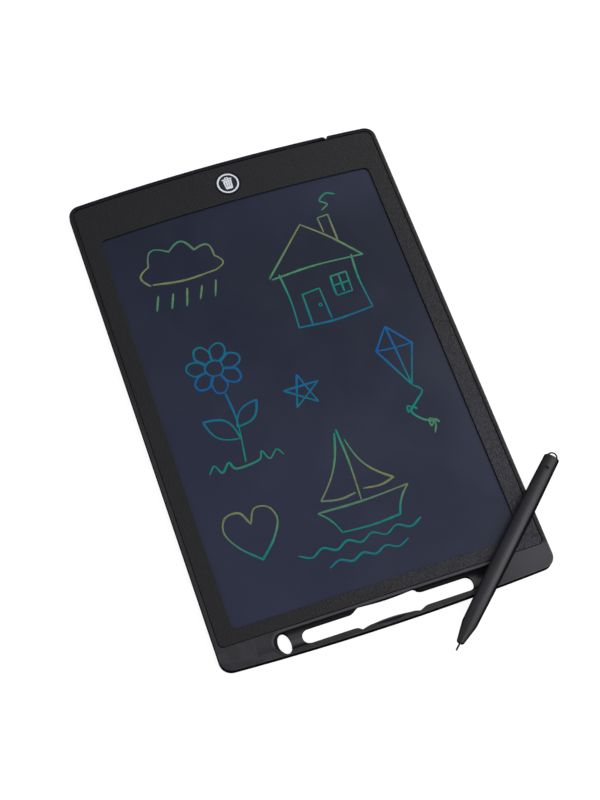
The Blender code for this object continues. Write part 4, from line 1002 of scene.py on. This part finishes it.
def make_bin(material):
    """Bin on the key: lid with handle, and a tapering body with slots."""
    half = BIN_SLOT_HALF_WIDTH
    low, high = BIN_SLOT_Y
    slots = [[(x - half - lean, high), (x + half - lean, high), (x + half + lean, low),
              (x - half + lean, low)] for x, lean in BIN_SLOTS]
    flat_piece("key_bin_body", [BIN_BODY, *slots], material)
    flat_piece("key_bin_lid", [BIN_LID, BIN_HANDLE], material)


def curve_points(points, step):
    """Smooth line through points, sampled about evenly."""
    spots = [Vector(point) for point in points]
    if len(spots) == 2:
        count = max(2, int((spots[1] - spots[0]).length / step))
        return [spots[0].lerp(spots[1], number / count) for number in range(count + 1)]
    padded = [2 * spots[0] - spots[1], *spots, 2 * spots[-1] - spots[-2]]
    line = []
    for a, b, c, d in zip(padded, padded[1:], padded[2:], padded[3:]):
        count = max(2, int((c - b).length / step))
        for number in range(count):
            t = number / count
            line.append(0.5 * ((2 * b) + (c - a) * t + (2 * a - 5 * b + 4 * c - d) * t * t
                               + (3 * b - a - 3 * c + d) * t * t * t))
    return line + [spots[-1]]


def stroke_line(parts):
    """One stroke from smooth stretches that meet in corners, in metres."""
    line = []
    for part in parts:
        stretch = curve_points([(x * DRAWING_UNIT, y * DRAWING_UNIT) for x, y in part],
                               STROKE_STEP)
        line += stretch if not line else stretch[1:]
    return line


def arc(first, last, bulge, steps=5):
    """Points from one to another on a bow that stands out by a share of the distance."""
    first, last = Vector(first), Vector(last)
    across = Vector((-(last - first).y, (last - first).x)) * bulge
    return [tuple(first.lerp(last, step / steps)
                  + across * math.sin(math.pi * step / steps)) for step in range(steps + 1)]


def circle(middle, radius, start=0.0, turns=1.0, steps=14):
    """Points round a circle that a hand has drawn, so it doesn't quite close."""
    wide, high = CIRCLE_WOBBLE
    return [(middle[0] + radius * (1 + wide * math.sin(3 * turn + radius)) * math.cos(turn),
             middle[1] + radius * (1 + high * math.cos(2 * turn)) * math.sin(turn))
            for turn in (start + math.tau * turns * step / steps for step in range(steps + 1))]


def corners(*points):
    """Straight stretches from point to point."""
    return [list(pair) for pair in zip(points, points[1:])]


def house():
    """House with roof, door, window, chimney and smoke."""
    walls = [[(9, 66), (10, 48), (9, 31)], [(9, 31), (30, 29.5), (53, 31)],
             [(53, 31), (51.5, 50), (52.5, 66)]]
    roof = [[(3, 65), (17, 79), (31, 93)], [(31, 93), (45, 80), (59, 64)],
            [(59, 64), (30, 65.5), (4, 64)]]
    door = corners((17, 31), (17.5, 50), (28, 51), (28.5, 31))
    window = [arc((36, 44), (36.5, 56), 0.02),
              *corners((36.5, 56), (46, 56.5), (45.5, 44), (36, 43.5))]
    chimney = corners((42.5, 84), (42, 94), (48.5, 94.5), (48.5, 77))
    smoke = [(46, 98), (50.5, 101), (47, 104.5), (52, 108), (57, 106)]
    return [walls, roof, door, window, [[(41, 44.5), (41.2, 56)]], [[(36.5, 50), (46, 50.4)]],
            chimney, [smoke], [circle((25.3, 41), 0.9, 0.4, 0.95, 7)]]


def cloud():
    """Cloud of bows over slanting rain."""
    rain = [[[(-60 + 8.5 * number, 74 - number % 2), (-63.5 + 8.5 * number, 65 - number % 3)]]
            for number in range(5)]
    bows = [arc(first, last, bulge) for first, last, bulge in (
        ((-62, 81), (-60, 93), 0.42), ((-60, 93), (-46, 99), 0.45),
        ((-46, 99), (-32, 96), 0.42), ((-32, 96), (-22, 89), 0.45), ((-22, 89), (-24, 80), 0.5))]
    return [bows + [[(-24, 80), (-43, 79), (-61, 81.5)]]] + rain


def flower():
    """Flower with seven petals, a stem, two leaves and a line of grass."""
    middle = Vector((-44, 22))
    outline = [(-0.36, 5.4), (-0.42, 10), (-0.2, 14.6), (0.08, 15.4), (0.38, 12), (0.4, 7.4),
               (0.36, 5.2)]
    petals = [[(middle.x + radius * math.cos(turn + side), middle.y + radius * math.sin(turn + side))
               for side, radius in outline]
              for turn in (math.tau * number / 7 + 0.2 for number in range(7))]
    grass = [(-66, -37), (-62, -33), (-59, -38), (-54, -33.5), (-51, -38), (-38, -37),
             (-35, -32.5), (-32, -38), (-27, -34), (-24, -38)]
    return [[circle(middle, 5.0, 0.7, 1.04)], petals[:4], petals[4:],
            [[(-43, 6), (-42, -12), (-45, -36)]],
            [arc((-43.4, -22), (-60, -7), 0.22), arc((-60, -7), (-43.4, -22), 0.26)],
            [arc((-43.2, -15), (-28, -3), -0.24), arc((-28, -3), (-43.2, -15), -0.2)], [grass]]


def star():
    """Five-pointed star in one line."""
    turns = (math.pi / 2 + 4 * math.pi * number / 5 for number in range(6))
    return [corners(*((-2 + 10.5 * math.cos(turn), -6 + 10.5 * math.sin(turn))
                      for turn in turns))]


def kite():
    """Kite with its cross and a waving tail with bows."""
    top, right, low, left = (55, 17), (66, 3), (57, -21), (45, 4)
    tail = [(57, -21), (61, -26), (56, -31), (51, -36), (55, -42), (61, -46), (59, -52)]
    return [corners(top, right, low, left, top), [[top, (56, -1), low]],
            [[left, (55, 3), right]], [tail],
            [[(53, -33), (49.5, -36), (50, -32.5), (54.5, -35.5), (53, -33)]],
            [[(62, -44), (58.5, -47.5), (59, -43), (63.5, -46.5), (62, -44)]]]


def boat():
    """Sailing boat with two sails and waves."""
    waves = [[(-36 + 7 * number, -95 - 3.2 * (number % 2)) for number in range(11)],
             [(-22 + 6.5 * number, -104 - 2.6 * ((number + 1) % 2)) for number in range(8)]]
    return [[arc((-18, -76), (-9, -90), 0.08), [(-9, -90), (8, -91), (24, -90)],
             arc((24, -90), (34, -75), 0.08), [(34, -75), (8, -76.5), (-18, -76)]],
            [[(7, -76), (8, -54), (7.5, -33)]],
            [arc((6, -35), (-14, -70), 0.08), [(-14, -70), (-4, -72), (5.5, -71)]],
            [arc((10, -40), (28, -69), -0.12), [(28, -69), (20, -71), (10, -70)]],
            *([wave] for wave in waves)]


def heart():
    """Heart in two bows."""
    return [[[(-54, -70), (-58, -62.5), (-66, -63), (-69, -71), (-64, -81), (-54, -91)],
             [(-54, -91), (-45, -82), (-39.5, -72), (-42, -64), (-49.5, -62.5), (-54, -70.5)]]]


def add_ribbon(work, line, height):
    """Low rounded ribbon along a line, pointed at both ends."""
    total = sum((b - a).length for a, b in zip(line, line[1:]))
    phase = PRESS_SHIFT * line[0].x / DRAWING_UNIT
    gone, rows = 0.0, []
    for number, spot in enumerate(line):
        if number:
            gone += (spot - line[number - 1]).length
        back, ahead = line[max(number - 1, 0)], line[min(number + 1, len(line) - 1)]
        along = (ahead - back).normalized()
        side = Vector((-along.y, along.x))
        end = min(1.0, gone / STROKE_TAPER, (total - gone) / STROKE_TAPER)
        press = 1 + sum(size * math.sin(gone * rate + phase) for size, rate in PRESS_WAVES)
        half = STROKE_WIDTH / 2 * press * (STROKE_END + (1 - STROKE_END) * math.sqrt(end))
        rows.append([work.verts.new((*(spot + side * half * share), height + STROKE_CROWN * rise))
                     for share, rise in STROKE_SECTION])
    join_rows(work, rows)
    for row in (rows[0], rows[-1]):
        work.faces.new(row)


def make_drawing(material):
    """All strokes of the drawing, one piece for each motif."""
    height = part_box("lcd_film")[1].z + STROKE_LIFT
    for motif in (house, cloud, flower, star, kite, boat, heart):
        work = bmesh.new()
        for stroke in motif():
            add_ribbon(work, stroke_line(stroke), height)
        mesh_piece("drawing_" + motif.__name__, work, material, "tablet")


def make_camera():
    """Camera at the photograph's viewpoint."""
    data = bpy.data.cameras.new("camera")
    data.lens, data.sensor_width, data.clip_start = CAMERA_LENS, SENSOR_WIDTH, NEAREST
    camera = place_in_scene("camera", data)
    camera.location = CAMERA_PLACE
    camera.rotation_euler = Euler([math.radians(turn) for turn in CAMERA_TURN])
    bpy.context.scene.camera = camera


def make_lights():
    """Square soft lights that look at the tablet."""
    for name, location, size, power in LIGHTS:
        data = bpy.data.lights.new(name, "AREA")
        data.shape, data.size, data.energy = "SQUARE", size, power
        light = place_in_scene(name, data)
        light.location = location
        light.rotation_euler = Vector(location).to_track_quat("Z", "Y").to_euler()


def make_sheet(name, z, tones, glow):
    """Wide round sheet under the tablet, a little mottled between two linear grey tones."""
    paint = Paint(name, STUDIO_ROUGHNESS, specular=STUDIO_SPECULAR)
    dark, light = tones
    tone = paint.noise(STUDIO_MOTTLE, 2.0)
    paint.feed("Base Color", paint.mix(tone, (dark,) * 3, (light,) * 3))
    paint.feed("Emission Color", (1.0, 1.0, 1.0))
    paint.feed("Emission Strength", glow)
    work = bmesh.new()
    bmesh.ops.create_circle(work, cap_ends=True, segments=FLOOR_SIDES, radius=FLOOR_RADIUS)
    sheet = place_in_scene(name, mesh_from(name, work, paint.material))
    sheet.location.z = z
    return sheet


def make_studio():
    """Plain pale floor, a dark sheet that only the walls see, pale surroundings and lights."""
    floor = make_sheet("studio_floor", FLOOR_Z, FLOOR_TONES, FLOOR_GLOW)
    floor.visible_glossy = False
    floor.visible_diffuse = False
    ground = make_sheet("studio_ground", GROUND_Z, GROUND_TONES, 0.0)
    ground.visible_camera = False
    world = bpy.data.worlds.new("studio")
    bpy.context.scene.world = world
    world.use_nodes = True
    background = world.node_tree.nodes["Background"]
    background.inputs["Color"].default_value = (1.0, 1.0, 1.0, 1.0)
    background.inputs["Strength"].default_value = SKY_STRENGTH
    make_lights()
    bpy.context.scene.view_settings.view_transform = "Standard"


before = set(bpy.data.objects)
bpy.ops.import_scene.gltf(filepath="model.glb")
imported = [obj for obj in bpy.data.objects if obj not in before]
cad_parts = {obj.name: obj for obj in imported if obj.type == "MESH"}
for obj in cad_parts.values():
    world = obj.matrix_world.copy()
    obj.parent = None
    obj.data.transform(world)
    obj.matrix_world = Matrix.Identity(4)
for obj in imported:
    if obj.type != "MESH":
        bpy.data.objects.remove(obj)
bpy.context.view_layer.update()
make_camera()
make_studio()
dress_nodes(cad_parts)
make_lip(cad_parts["outer_frame"].active_material)
make_pen_ribs(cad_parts["stylus_barrel"].active_material)
make_chip_legs(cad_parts["battery_contact_positive"].active_material)
ink = sign_ink()
make_ring(ink)
make_bin(ink)
make_drawing(drawn_line())
